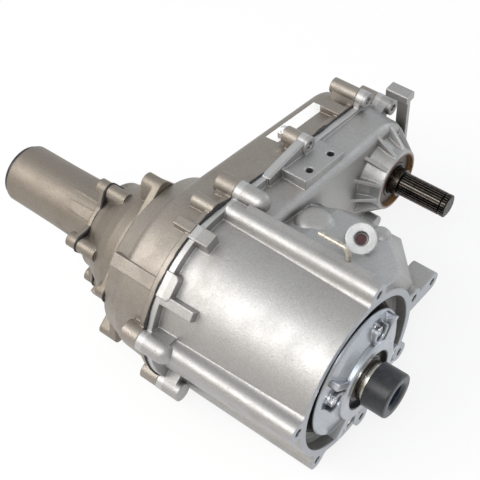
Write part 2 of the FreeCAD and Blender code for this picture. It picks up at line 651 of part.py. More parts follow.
def rear_case_half():
    lip = belt(REAR_JOINT_Y, REAR_JOINT_Y + LIP_THICK, MAIN_R, OUTPUT_R)
    seat_y = REAR_SEAT_Y - SEALANT / 2
    neck_y = REAR_WALL_Y - REAR_ROUND
    neck_r = MAIN_R - LIP_HEIGHT - REAR_DRAFT * (neck_y - PARTING_Y) / (REAR_WALL_Y - PARTING_Y) - 0.3
    neck = turned([(0, neck_y - 9), (neck_r, neck_y - 9), (neck_r, neck_y), (REAR_NECK_R, seat_y),
                   (0, seat_y)])
    bosses = []
    for x, z, boss_r, front, rear in CASE_BOLTS:
        bosses.append(rod(x, z, boss_r - 0.5, REAR_JOINT_Y, rear))
        bosses.append(boss_foot(x, z, boss_r - 0.5, REAR_JOINT_Y, rear - 4))
    ears = [lug(a, r, ear_r, DOME_FLANGE_R - 2, REAR_SEAT_Y - 26, seat_y)
            for a, r, ear_r, length in DOME_EARS]
    rib = radial_block(135.5, 96, MAIN_R - 3.3, 16, REAR_JOINT_Y, REAR_SEAT_Y - 6)
    tab = radial_block(100, 98, MAIN_R + 4.2, 12, REAR_JOINT_Y, 227)
    dowel = rod(*polar(MAIN_R - 2.3, 82), 9.5, REAR_JOINT_Y, 232)
    top_tab = prism([(250, 60), (250, top_wall_z(258) + 6), (268, top_wall_z(258) + 4), (268, 60)],
                    REAR_JOINT_Y, 230)
    foot = prism([(-62, -70), (-62, PAD_Z), (-22, PAD_Z), (-22, -70)], REAR_JOINT_Y + 12, 246)
    outside = rear_outside().cut(Part.makeBox(900, 100, 900, V(-450, REAR_JOINT_Y - 100, -450)))
    outside = outside.fuse([lip, neck, rib, tab, dowel, top_tab, foot] + bosses + ears)
    inner, outer, width = OUTPUT_TAIL_BEARING
    cavity = belt(PARTING_Y - 1, REAR_WALL_Y - WALL, CAVITY_R, OUTPUT_CAVITY_R)
    tools = [rod(0, 0, SHAFT_WINDOW_R, REAR_WALL_Y - WALL - 1, REAR_SEAT_Y + 1)]
    for k, (x, z, boss_r, front, rear) in enumerate(CASE_BOLTS):
        tools.append(rod(x, z, CASE_BOLT_R + HOLE_CLEARANCE, REAR_JOINT_Y - 1, rear + 1))
        if k == PROUD_BOLT:
            tools.append(rod(x, z, CASE_BOLT_HEAD * 0.62 + 0.8, rear, rear + CASE_BOLT_HEAD_HEIGHT + 1))
        else:
            tools.append(rod(x, z, CASE_SOCKET_R + RUNNING_GAP, rear - CASE_SOCKET_HEIGHT - SUNK, rear + 9))
    for a, r, ear_r, length in DOME_EARS:
        x, z = polar(r, a)
        tools.append(rod(x, z, DOME_BOLT_R + HOLE_CLEARANCE, REAR_SEAT_Y - 22, REAR_SEAT_Y + 1))
    shell = outside.cut([cavity] + tools)
    seat = rod(SHAFT_CENTRES, 0, outer + 7, OUTPUT_TAIL_BEARING_Y, REAR_WALL_Y - 3)
    rail_seat = rod(RAIL_X, RAIL_Z, RAIL_R + 6, RAIL_REAR_Y - 18, REAR_WALL_Y - 3)
    shell = shell.fuse([seat, rail_seat])
    bores = [rod(SHAFT_CENTRES, 0, outer + FIT / 2, OUTPUT_TAIL_BEARING_Y - 1, OUTPUT_TAIL_BEARING_Y + width),
             rod(SHAFT_CENTRES, 0, outer - 6, OUTPUT_TAIL_BEARING_Y, OUTPUT_TAIL_BEARING_Y + width + 4),
             rod(RAIL_X, RAIL_Z, RAIL_R + FIT, RAIL_REAR_Y - 20, RAIL_REAR_Y + MODE_TRAVEL - 8)]
    bores += plug_holes()
    return shell.cut(bores).removeSplitter()


PLUG_SPOTS = ((196.0, 14.0), (110.0, -62.0))


def plug_holes():
    return [rod(x, z, PLUG_R + HOLE_CLEARANCE, REAR_WALL_Y - WALL - 2, REAR_WALL_Y + 1)
            for x, z in PLUG_SPOTS]


def plug(spot):
    """A threaded filler or drain plug with a hex head on the rear wall."""
    x, z = spot
    body = rod(x, z, PLUG_R, REAR_WALL_Y - WALL, REAR_WALL_Y + 0.2)
    washer = rod(x, z, PLUG_R + 4, REAR_WALL_Y, REAR_WALL_Y + 2)
    return body.fuse([washer, hexagon(PLUG_HEX, REAR_WALL_Y, REAR_WALL_Y + 9, x, z)]).removeSplitter()


def case_sealant():
    """The bead of sealant squeezed out of the case joint."""
    outer = belt(FRONT_JOINT_Y, REAR_JOINT_Y, MAIN_R + 0.8, OUTPUT_R + 0.8)
    inner = belt(FRONT_JOINT_Y - 1, REAR_JOINT_Y + 1, CAVITY_R, OUTPUT_CAVITY_R)
    bead = outer.cut(inner)
    holes = [rod(x, z, CASE_BOLT_R + HOLE_CLEARANCE, FRONT_JOINT_Y - 1, REAR_JOINT_Y + 1)
             for x, z, boss_r, front, rear in CASE_BOLTS]
    return bead.cut(holes)


def case_bolts():
    bolts = []
    for k, (x, z, boss_r, front, rear) in enumerate(CASE_BOLTS):
        tip = max(PARTING_Y - BOLT_REACH, front + 3)
        if k == PROUD_BOLT:
            bolts.append(flange_bolt(x, z, CASE_BOLT_R, CASE_BOLT_HEAD, rear, CASE_BOLT_HEAD_HEIGHT, tip))
        else:
            seat = rear - CASE_SOCKET_HEIGHT - SUNK
            bolts.append(socket_screw(x, z, CASE_BOLT_R, CASE_SOCKET_R, seat, CASE_SOCKET_HEIGHT, tip))
    return Part.makeCompound(bolts)


# Input bearing retainer and what it holds

def input_bearing_retainer():
    body = turned([(0, RETAINER_FACE_Y), (RETAINER_HUB_R - 1.5, RETAINER_FACE_Y),
                   (RETAINER_HUB_R, RETAINER_FACE_Y + 1.5), (RETAINER_HUB_R + 0.5, RETAINER_STEP_Y),
                   (RETAINER_NOSE_R + 2, RETAINER_STEP_Y), (RETAINER_R - 9, -3.0),
                   (RETAINER_R - 2, RETAINER_RIM_Y - 2.5), (RETAINER_R, RETAINER_RIM_Y),
                   (RETAINER_R, RETAINER_SEAT_Y), (0, RETAINER_SEAT_Y)])
    walls = []
    pockets = []
    for a in RETAINER_BOLT_ANGLES:
        x, z = polar(RETAINER_BOLT_CIRCLE_R, a)
        walls.append(rod(x, z, RETAINER_POCKET_R + 3.5, RETAINER_FACE_Y + 3, 4))
        walls.append(radial_block(a - 20, RETAINER_HUB_R - 4, RETAINER_R - 2, 8, RETAINER_FACE_Y + 2, 4))
        pockets.append(rod(x, z, RETAINER_POCKET_R, RETAINER_FACE_Y - 1, RETAINER_POCKET_Y))
        pockets.append(radial_block(a, RETAINER_BOLT_CIRCLE_R, RETAINER_R + 4, RETAINER_POCKET_R * 2,
                                    RETAINER_FACE_Y - 1, RETAINER_POCKET_Y))
        pockets.append(rod(x, z, RETAINER_BOLT_R + HOLE_CLEARANCE, RETAINER_FACE_Y, RETAINER_SEAT_Y + 1))
    inner, outer, width = INPUT_BEARING
    bores = [rod(0, 0, INPUT_SEAL_R + FIT / 2, RETAINER_FACE_Y - 1, RETAINER_FACE_Y + INPUT_SEAL_THICK),
             rod(0, 0, outer - 5, RETAINER_FACE_Y, RETAINER_SEAT_Y + 1).cut(
                 rod(0, 0, outer, RETAINER_FACE_Y - 1, RETAINER_FACE_Y + INPUT_SEAL_THICK + 4)),
             rod(0, 0, INPUT_SHAFT_R + 5, RETAINER_FACE_Y - 1, RETAINER_SEAT_Y + 1)]
    return body.fuse(walls).cut(pockets + bores).removeSplitter()


def retainer_bolts():
    bolts = []
    for a in RETAINER_BOLT_ANGLES:
        x, z = polar(RETAINER_BOLT_CIRCLE_R, a)
        bolts.append(flange_bolt(x, z, RETAINER_BOLT_R, RETAINER_BOLT_HEAD, RETAINER_POCKET_Y, 7,
                                 WEB_BACK_Y - 5))
    return Part.makeCompound(bolts)


def lip_seal(x, shaft_r, seat_r, face_y, thick):
    """A pressed cup with its face sunk behind the rim and a rubber lip that runs on the shaft."""
    shell = [(seat_r, 0), (seat_r, thick), (shaft_r + 4, thick), (shaft_r + FIT, thick - 1.5),
             (shaft_r + FIT, thick - 3), (shaft_r + 2.2, SEAL_RECESS - 1.5),
             (shaft_r + 4.5, SEAL_RECESS - 1.5), (shaft_r + 5.5, SEAL_RECESS),
             (seat_r - 1.6, SEAL_RECESS), (seat_r - 1.6, 0.4), (seat_r - 1.2, 0)]
    return turned([(r, face_y + y) for r, y in shell], x)


def bearing_races(size, y, x=0.0):
    """Outer race, inner race and the roller set of one bearing."""
    inner, outer, width = size
    step = (outer - inner) / 3
    outer_race = tube(x, 0, outer, outer - step + FIT, y, y + width)
    inner_race = tube(x, 0, inner + step - FIT, inner, y, y + width)
    return outer_race, inner_race


def roller_set(size, y, x=0.0):
    inner, outer, width = size
    step = (outer - inner) / 3
    ring_r = (outer + inner) / 2
    roller_r = step / 2 - FIT
    cage = tube(x, 0, ring_r + step * 0.28, ring_r - step * 0.28, y + 1, y + width - 1)
    rollers = [rod(*polar(ring_r, 360.0 / ROLLERS * k, x), roller_r, y + 2, y + width - 2)
               for k in range(ROLLERS)]
    return cage.fuse(rollers).removeSplitter()


# Input shaft and planetary set

def input_shaft():
    gear_end = GEAR_Y + GEAR_WIDTH
    seat_r, outer, width = INPUT_BEARING
    seat_end = INPUT_BEARING_Y + width
    body = turned([(0, INPUT_SHAFT_TIP_Y), (INPUT_SHAFT_R - 1, INPUT_SHAFT_TIP_Y),
                   (INPUT_SHAFT_R, INPUT_SHAFT_TIP_Y + 1), (INPUT_SHAFT_R, INPUT_BEARING_Y - 2),
                   (seat_r, INPUT_BEARING_Y - 2), (seat_r, seat_end), (seat_r + 5, seat_end),
                   (seat_r + 5, GEAR_Y - 3), (SUN_R - 5, GEAR_Y - 3), (SUN_R - 5, gear_end), (0, gear_end)])
    teeth = prism(gear_face(SUN_TEETH, SUN_R + ADDENDUM, SUN_R - DEDENDUM, TOOTH, 0, 1), GEAR_Y, gear_end)
    coupling = spline_outline(INPUT_SPLINES, INPUT_SPLINE_R, INPUT_SPLINE_R - SPLINE_DEPTH)
    clutch_r = RANGE_TOOTH_R + RUNNING_GAP
    bore = [prism(coupling, INPUT_SHAFT_TIP_Y - 1, INPUT_SPLINE_END_Y),
            rod(0, 0, PILOT_R + 2 * NEEDLE_R + 2 * FIT, PILOT_Y - 3, gear_end + 1),
            prism(spline_outline(INPUT_SPLINES, clutch_r, clutch_r - 2.5), RANGE_NOSE_Y - 1, gear_end + 1)]
    return body.fuse(teeth).cut(bore).removeSplitter()


def shipping_cap():
    """A plastic cap: a skirt over the shaft end and a blind cup down its bore."""
    plug_r = INPUT_SPLINE_R - SPLINE_DEPTH - RUNNING_GAP
    groove_y = INPUT_SHAFT_TIP_Y - 0.4
    return turned([(CAP_R - 2.5, CAP_TIP_Y), (CAP_R - 0.8, CAP_TIP_Y + 0.8), (CAP_R, CAP_TIP_Y + 2.6),
                   (CAP_R, CAP_REAR_Y), (INPUT_SHAFT_R + FIT, CAP_REAR_Y),
                   (INPUT_SHAFT_R + FIT, groove_y), (plug_r, groove_y),
                   (plug_r, CAP_FLOOR_Y + CAP_WALL), (0, CAP_FLOOR_Y + CAP_WALL), (0, CAP_FLOOR_Y),
                   (plug_r - CAP_WALL, CAP_FLOOR_Y), (plug_r - CAP_WALL, CAP_TIP_Y + 4),
                   (plug_r + 0.4, CAP_TIP_Y + 1.4), (plug_r + 2.5, CAP_TIP_Y)])


def planet_carrier():
    front_y = GEAR_Y - CARRIER_GAP - CARRIER_PLATE
    rear_y = GEAR_Y + GEAR_WIDTH + CARRIER_GAP
    front = tube(0, 0, CARRIER_R, CARRIER_FRONT_R, front_y, front_y + CARRIER_PLATE)
    rear = tube(0, 0, CARRIER_R, CARRIER_BORE_R + 8, rear_y, rear_y + CARRIER_PLATE)
    clutch_y = RANGE_NOSE_Y + RANGE_TRAVEL
    clutch_r = RANGE_TOOTH_R + RUNNING_GAP
    collar = rod(0, 0, CARRIER_BORE_R + 10, rear_y, clutch_y + RANGE_TOOTH_WIDTH + 1).cut(
        [prism(spline_outline(INPUT_SPLINES, clutch_r + 2.5, clutch_r), clutch_y, clutch_y + 20),
         rod(0, 0, clutch_r, rear_y - 1, clutch_y + 20)])
    posts = []
    pins = []
    for k in range(PLANETS):
        post_a = 360.0 / PLANETS * (k + 0.5)
        x, z = polar(PLANET_ORBIT_R + 3, post_a)
        posts.append(rod(x, z, 6.0, front_y + 1, rear_y + CARRIER_PLATE - 1))
        x, z = polar(PLANET_ORBIT_R, 360.0 / PLANETS * k)
        pins.append(rod(x, z, PLANET_PIN_R + FIT, front_y - 1, rear_y + CARRIER_PLATE + 1))
    return front.fuse([rear, collar] + posts).cut(pins).removeSplitter()


def planet_pins():
    front_y = GEAR_Y - CARRIER_GAP - CARRIER_PLATE
    rear_y = GEAR_Y + GEAR_WIDTH + CARRIER_GAP
    return Part.makeCompound([rod(*polar(PLANET_ORBIT_R, 360.0 / PLANETS * k), PLANET_PIN_R, front_y,
                                  rear_y + CARRIER_PLATE) for k in range(PLANETS)])


def planet_gear(k):
    angle = 360.0 / PLANETS * k
    x, z = polar(PLANET_ORBIT_R, angle)
    outline = moved(gear_face(PLANET_TEETH, PLANET_R + ADDENDUM, PLANET_R - DEDENDUM, TOOTH, angle, 2), x, z)
    return prism(outline, GEAR_Y, GEAR_Y + GEAR_WIDTH).cut(
        rod(x, z, PLANET_PIN_R + FIT, GEAR_Y - 1, GEAR_Y + GEAR_WIDTH + 1))


def annulus_gear():
    """The internal gear pressed into the snout; its tooth spaces face the planets."""
    space = math.pi * MODULE - TOOTH
    spaces = gear_face(ANNULUS_TEETH, RING_R + DEDENDUM, RING_R - ADDENDUM, space, 0, 1)
    return rod(0, 0, ANNULUS_R, GEAR_Y - 2, GEAR_Y + GEAR_WIDTH + 2).cut(
        prism(spaces, GEAR_Y - 3, GEAR_Y + GEAR_WIDTH + 3))


# Mainshaft and the parts on it

def mainshaft():
    collar_y = REAR_BEARING_Y - 4
    seat_r, outer, width = REAR_BEARING
    seat_end = REAR_BEARING_Y + width + 4
    root_r = MAINSHAFT_TAIL_R - SPLINE_DEPTH
    core = turned([(0, PILOT_Y), (PILOT_R, PILOT_Y), (PILOT_R, 96), (MAINSHAFT_R, 96),
                   (MAINSHAFT_R, collar_y), (MAINSHAFT_R + 2.5, collar_y),
                   (MAINSHAFT_R + 2.5, REAR_BEARING_Y), (seat_r, REAR_BEARING_Y),
                   (seat_r, seat_end), (MAINSHAFT_TAIL_R, seat_end), (root_r, TAIL_SEAT_Y + 22),
                   (root_r, MAINSHAFT_TIP_Y - 1), (root_r - 1.5, MAINSHAFT_TIP_Y), (0, MAINSHAFT_TIP_Y)])
    splines = prism(spline_outline(MAINSHAFT_SPLINES, MAINSHAFT_SPLINE_R, MAINSHAFT_R - 0.5), 97, CHAIN_Y - 6)
    tail = prism(spline_outline(MAINSHAFT_SPLINES, MAINSHAFT_TAIL_R, root_r - 0.3), TAIL_SEAT_Y + 28,
                 MAINSHAFT_TIP_Y - 4)
    return core.fuse([splines, tail]).removeSplitter()


def grooved_collar(y, width, outer, bore):
    groove_y = y + width - FORK_GROOVE - 4
    floor_r = outer - FORK_GROOVE_DEPTH
    return turned([(bore, y), (outer - 1, y), (outer, y + 1), (outer, groove_y), (floor_r, groove_y),
                   (floor_r, groove_y + FORK_GROOVE), (outer, groove_y + FORK_GROOVE),
                   (outer, y + width - 1), (outer - 1, y + width), (bore, y + width)])


def range_collar():
    """The collar that locks the mainshaft to the input gear, or further back to the carrier."""
    collar = grooved_collar(RANGE_COLLAR_Y, RANGE_COLLAR_WIDTH, RANGE_COLLAR_R, MAINSHAFT_SPLINE_R + FIT)
    nose = tube(0, 0, RANGE_NOSE_R, MAINSHAFT_SPLINE_R + FIT, RANGE_NOSE_Y, RANGE_COLLAR_Y + 1)
    teeth = prism(spline_outline(INPUT_SPLINES, RANGE_TOOTH_R, RANGE_TOOTH_R - 2.5, fill=0.42), RANGE_NOSE_Y,
                  RANGE_NOSE_Y + RANGE_TOOTH_WIDTH)
    return collar.fuse([nose, teeth.cut(rod(0, 0, RANGE_NOSE_R - 1, 0, 200))]).removeSplitter()


def mode_sleeve():
    """The sleeve that slides over the nose of the drive sprocket to drive the front axle."""
    sleeve = grooved_collar(MODE_SLEEVE_Y, MODE_SLEEVE_WIDTH, MODE_SLEEVE_R, MAINSHAFT_SPLINE_R + FIT)
    nose_y = CHAIN_Y - 4 - SPROCKET_NOSE
    return sleeve.cut(rod(0, 0, SPROCKET_NOSE_R + RUNNING_GAP, nose_y - 1, CHAIN_Y))


def fork(collar_y, width, collar_r, hub_y0, hub_y1, fittings=()):
    """A shift fork: a hub on the rail and an arm that half circles the collar's groove."""
    groove_middle = collar_y + width - 4 - FORK_GROOVE / 2
    y0 = groove_middle - FORK_THICK / 2
    y1 = groove_middle + FORK_THICK / 2
    inner = collar_r - FORK_GROOVE_DEPTH + RUNNING_GAP
    arc = tube(0, 0, inner + FORK_ARM, inner, y0, y1)
    arc = arc.cut(Part.makeBox(200, 60, 200, V(-200 + 4, y0 - 10, -100)))
    arm = belt(y0, y1, 13, 10.3, RAIL_X, RAIL_Z, inner + 6, 0).cut(rod(0, 0, inner, y0 - 1, y1 + 1))
    hub = rod(RAIL_X, RAIL_Z, FORK_HUB_R, hub_y0, hub_y1)
    bore = rod(RAIL_X, RAIL_Z, RAIL_R + FIT, hub_y0 - 30, hub_y1 + 30)
    return arc.fuse([arm, hub] + list(fittings)).cut(bore).removeSplitter()


RANGE_FORK_HUB = (RANGE_COLLAR_Y + 6.0, RANGE_COLLAR_Y + 20.0)
SECTOR_PIN_Y = RANGE_FORK_HUB[0] + 6.0
SECTOR_PIN_X = RAIL_X - 4.0


def range_fork():
    """The range fork, with the pin that follows the sector's slot."""
    pin_foot = RAIL_Z + RAIL_R + 0.8
    pin = Part.makeCylinder(SECTOR_PIN_R, SECTOR_PLATE_Z + SECTOR_PLATE_THICK + 2 - pin_foot,
                            V(SECTOR_PIN_X, SECTOR_PIN_Y, pin_foot), V(0, 0, 1))
    return fork(RANGE_COLLAR_Y, RANGE_COLLAR_WIDTH, RANGE_COLLAR_R, *RANGE_FORK_HUB, [pin])


def mode_fork():
    return fork(MODE_SLEEVE_Y, MODE_SLEEVE_WIDTH, MODE_SLEEVE_R, MODE_SLEEVE_Y + 2, MODE_SLEEVE_Y + 20)


def sector_pin_in_plate(turn):
    """Where the fork's pin lies on the plate once the sector has turned by this angle."""
    slide = RANGE_TRAVEL * turn / SECTOR_TRAVEL
    dx = SECTOR_PIN_X - SECTOR_X
    dy = SECTOR_PIN_Y + slide - SECTOR_Y
    a = math.radians(turn)
    x = SECTOR_X + dx * math.cos(a) - dy * math.sin(a)
    y = SECTOR_Y + dx * math.sin(a) + dy * math.cos(a)
    return V(x, y, SECTOR_PLATE_Z)


def swept_disc(radius, z0, thick, turns):
    """The track of a disc that follows the pin over these sector angles."""
    spots = [sector_pin_in_plate(t) for t in turns]
    shapes = []
    for a, b in zip(spots, spots[1:]):
        shapes.append(Part.makeCylinder(radius, thick, V(a.x, a.y, z0), V(0, 0, 1)))
        along = V(b.x - a.x, b.y - a.y, 0)
        side = V(-along.y, along.x, 0)
        side.normalize()
        corners = [V(a.x, a.y, z0) + side * radius, V(b.x, b.y, z0) + side * radius,
                   V(b.x, b.y, z0) - side * radius, V(a.x, a.y, z0) - side * radius]
        shapes.append(Part.Face(Part.makePolygon(corners + corners[:1])).extrude(V(0, 0, thick)))
    last = spots[-1]
    shapes.append(Part.makeCylinder(radius, thick, V(last.x, last.y, z0), V(0, 0, 1)))
    return shapes


def shift_sector():
    """The sector plate with its spiral slot, and the shaft it is fixed to."""
    z0 = SECTOR_PLATE_Z
    turns = [SECTOR_TRAVEL * k / 6 for k in range(0, 7)]
    plate = swept_disc(SECTOR_PIN_R + SECTOR_RIM, z0, SECTOR_PLATE_THICK, turns)
    spots = [sector_pin_in_plate(t) for t in turns]
    ends = [V(SECTOR_X, SECTOR_Y, z0), V(spots[0].x, spots[0].y, z0), V(spots[-1].x, spots[-1].y, z0)]
    web = Part.Face(Part.makePolygon(ends + ends[:1])).extrude(V(0, 0, SECTOR_PLATE_THICK))
    hub = Part.makeCylinder(13, SECTOR_PLATE_THICK, V(SECTOR_X, SECTOR_Y, z0), V(0, 0, 1))
    slot = swept_disc(SECTOR_PIN_R + RUNNING_GAP, z0 - 1, SECTOR_PLATE_THICK + 2,
                      [SECTOR_TRAVEL * k / 8 for k in range(0, 9)])
    bore = Part.makeCylinder(SECTOR_SHAFT_R, SECTOR_PLATE_THICK + 2,
                             V(SECTOR_X, SECTOR_Y, z0 - 1), V(0, 0, 1))
    return hub.fuse(plate + [web]).cut(slot + [bore]).removeSplitter()


def sector_shaft():
    foot = V(SECTOR_X, SECTOR_Y, SECTOR_TIP_Z)
    body = Part.makeCylinder(SECTOR_SHAFT_R, SECTOR_TOP_Z - 2 - SECTOR_TIP_Z, foot, V(0, 0, 1))
    flats = [Part.makeBox(20, 8, 16, V(SECTOR_X - 10, SECTOR_Y + side * 9.5 - 4, SECTOR_TIP_Z - 1))
             for side in (-1, 1)]
    return body.cut(flats)


def shift_rail():
    return rod(RAIL_X, RAIL_Z, RAIL_R, RAIL_FRONT_Y, RAIL_REAR_Y - 8)


# Chain drive

SPROCKET_ROOM = OUTPUT_CAVITY_R - CHAIN_CLEARANCE - CHAIN_BACK + 0.6
SPROCKET_TEETH = int(math.pi / math.asin(CHAIN_PITCH / 2 / SPROCKET_ROOM))
CHAIN_PITCH_R = CHAIN_PITCH / 2 / math.sin(math.pi / SPROCKET_TEETH)


def sprocket(x, bore, nose):
    """A silent-chain sprocket: toothed rim, web and hub, with a clutch nose where it has one."""
    tip_r = CHAIN_PITCH_R - 1.0
    root_r = tip_r - 4.2
    outline = []
    for k in range(SPROCKET_TEETH):
        for share, r in ((-0.34, root_r), (-0.13, tip_r), (0.13, tip_r), (0.34, root_r)):
            a = 2 * math.pi * (k + share) / SPROCKET_TEETH
            outline.append((x + r * math.cos(a), r * math.sin(a)))
    rim = prism(outline, CHAIN_Y + SPROCKET_GAP, CHAIN_Y + CHAIN_WIDTH - SPROCKET_GAP)
    hub = rod(x, 0, SPROCKET_HUB_R, CHAIN_Y - 4, CHAIN_Y + CHAIN_WIDTH + 4)
    if nose:
        hub = hub.fuse(rod(x, 0, SPROCKET_NOSE_R, CHAIN_Y - 4 - nose, CHAIN_Y))
    return rim.fuse(hub).cut(rod(x, 0, bore, CHAIN_Y - 20, CHAIN_Y + CHAIN_WIDTH + 20)).removeSplitter()


def drive_chain():
    """The chain as one closed loop of link blocks and the plates between them."""
    inside = CHAIN_PITCH_R - 1.0 + 0.4
    back = inside + CHAIN_BACK
    loop = belt(CHAIN_Y, CHAIN_Y + CHAIN_WIDTH, back, back).cut(
        belt(CHAIN_Y - 1, CHAIN_Y + CHAIN_WIDTH + 1, inside, inside))
    grooves = []
    count = int(SHAFT_CENTRES / (2 * CHAIN_PITCH))
    for k in range(count):
        x = SHAFT_CENTRES / count * (k + 0.5)
        for side in (-1, 1):
            low_corner = V(x, CHAIN_Y - 1, side * (inside + 0.9) - 1.2)
            grooves.append(Part.makeBox(2.4, CHAIN_WIDTH + 2, 2.4, low_corner))
    return loop.cut(grooves)


def output_shaft():
    inner, outer, width = OUTPUT_BEARING
    tail_inner, tail_outer, tail_width = OUTPUT_TAIL_BEARING
    seat_end = OUTPUT_BEARING_Y + width
    core_r = OUTPUT_SHAFT_R - SPLINE_DEPTH
    ring_y = OUTPUT_TIP_Y + 6
    collar_y = OUTPUT_SNOUT_Y - 8
    hub_end = CHAIN_Y + CHAIN_WIDTH + 6
    tail_end = OUTPUT_TAIL_BEARING_Y + tail_width + 2
    core = turned([(0, OUTPUT_TIP_Y), (core_r - 1, OUTPUT_TIP_Y), (core_r, OUTPUT_TIP_Y + 1),
                   (core_r, ring_y), (core_r - 1.5, ring_y), (core_r - 1.5, ring_y + 2.5), (core_r, ring_y + 2.5),
                   (core_r, collar_y), (OUTPUT_COLLAR_R, collar_y), (OUTPUT_COLLAR_R, OUTPUT_BEARING_Y),
                   (inner, OUTPUT_BEARING_Y), (inner, seat_end), (inner + 4, seat_end),
                   (inner + 4, CHAIN_Y - 6), (inner + 2, CHAIN_Y - 6), (inner + 2, hub_end),
                   (tail_inner, hub_end), (tail_inner, tail_end),
                   (0, tail_end)], SHAFT_CENTRES)
    teeth = spline_outline(OUTPUT_SPLINES, OUTPUT_SHAFT_R, core_r - 0.3, SHAFT_CENTRES)
    splines = [prism(teeth, OUTPUT_TIP_Y + 1, ring_y), prism(teeth, ring_y + 2.5, OUTPUT_SNOUT_Y - 10)]
    return core.fuse(splines).removeSplitter()


def output_tail_bearing():
    """The drawn-cup needle bearing in the rear wall, round the tail of the front output shaft."""
    inner, outer, width = OUTPUT_TAIL_BEARING
    return tube(SHAFT_CENTRES, 0, outer, inner + FIT, OUTPUT_TAIL_BEARING_Y, OUTPUT_TAIL_BEARING_Y + width)


# Oil pump, tone wheel and small inside parts

PUMP_Y = REAR_WALL_Y - WALL - PUMP_WIDTH
PICKUP_X = 26.0
PICKUP_R = 4.5


def oil_pump():
    """The pump body on the inside of the rear wall, round the mainshaft."""
    body = rod(0, 0, PUMP_R, PUMP_Y, PUMP_Y + PUMP_WIDTH)
    spout = belt(PUMP_Y + 3, PUMP_Y + 12, 12, 8, PICKUP_X, -64, 16, -34)
    hollow = [rod(0, 0, PUMP_ROTOR_R + RUNNING_GAP, PUMP_Y + 3, PUMP_Y + 12),
              rod(0, 0, MAINSHAFT_R + RUNNING_GAP, PUMP_Y - 1, PUMP_Y + PUMP_WIDTH + 1)]
    return body.fuse(spout).cut(hollow).removeSplitter()


def pump_rotor():
    return tube(0, 0, PUMP_ROTOR_R, MAINSHAFT_R, PUMP_Y + 3.5, PUMP_Y + 11.5)


def oil_pickup():
    """The pickup pipe from the pump down to a strainer on the floor of the case."""
    top_z = -72.0
    floor_z = -math.sqrt(CAVITY_R ** 2 - (PICKUP_X + 13) ** 2)
    pipe = Part.makeCylinder(PICKUP_R, top_z - floor_z - 2,
                             V(PICKUP_X, PUMP_Y + 7.5, floor_z + 2), V(0, 0, 1))
    strainer = Part.makeBox(26, 28, 6, V(PICKUP_X - 13, PUMP_Y - 14, floor_z + 0.2))
    return pipe.fuse(strainer).removeSplitter()


def magnet():
    width = 24.0
    floor_z = -math.sqrt(CAVITY_R ** 2 - (width / 2 + 12) ** 2)
    return Part.makeBox(width, 12, 4, V(-width / 2 - 12, PARTING_Y + 12, floor_z + 0.1))


def tone_wheel():
    y0 = REAR_BEARING_Y + REAR_BEARING[2] + 5
    outline = spline_outline(30, 34, 31)
    return prism(outline, y0, y0 + 8).cut(rod(0, 0, MAINSHAFT_TAIL_R + 0.02, y0 - 1, y0 + 9))


def snap_rings():
    rings = [tube(0, 0, MAINSHAFT_R + 3, MAINSHAFT_R, CHAIN_Y + CHAIN_WIDTH + 6, CHAIN_Y + CHAIN_WIDTH + 8),
             tube(0, 0, MAINSHAFT_R + 3, MAINSHAFT_R, REAR_WALL_Y + 4, REAR_WALL_Y + 6)]
    return Part.makeCompound(rings)


# Rear bearing retainer, tail housing

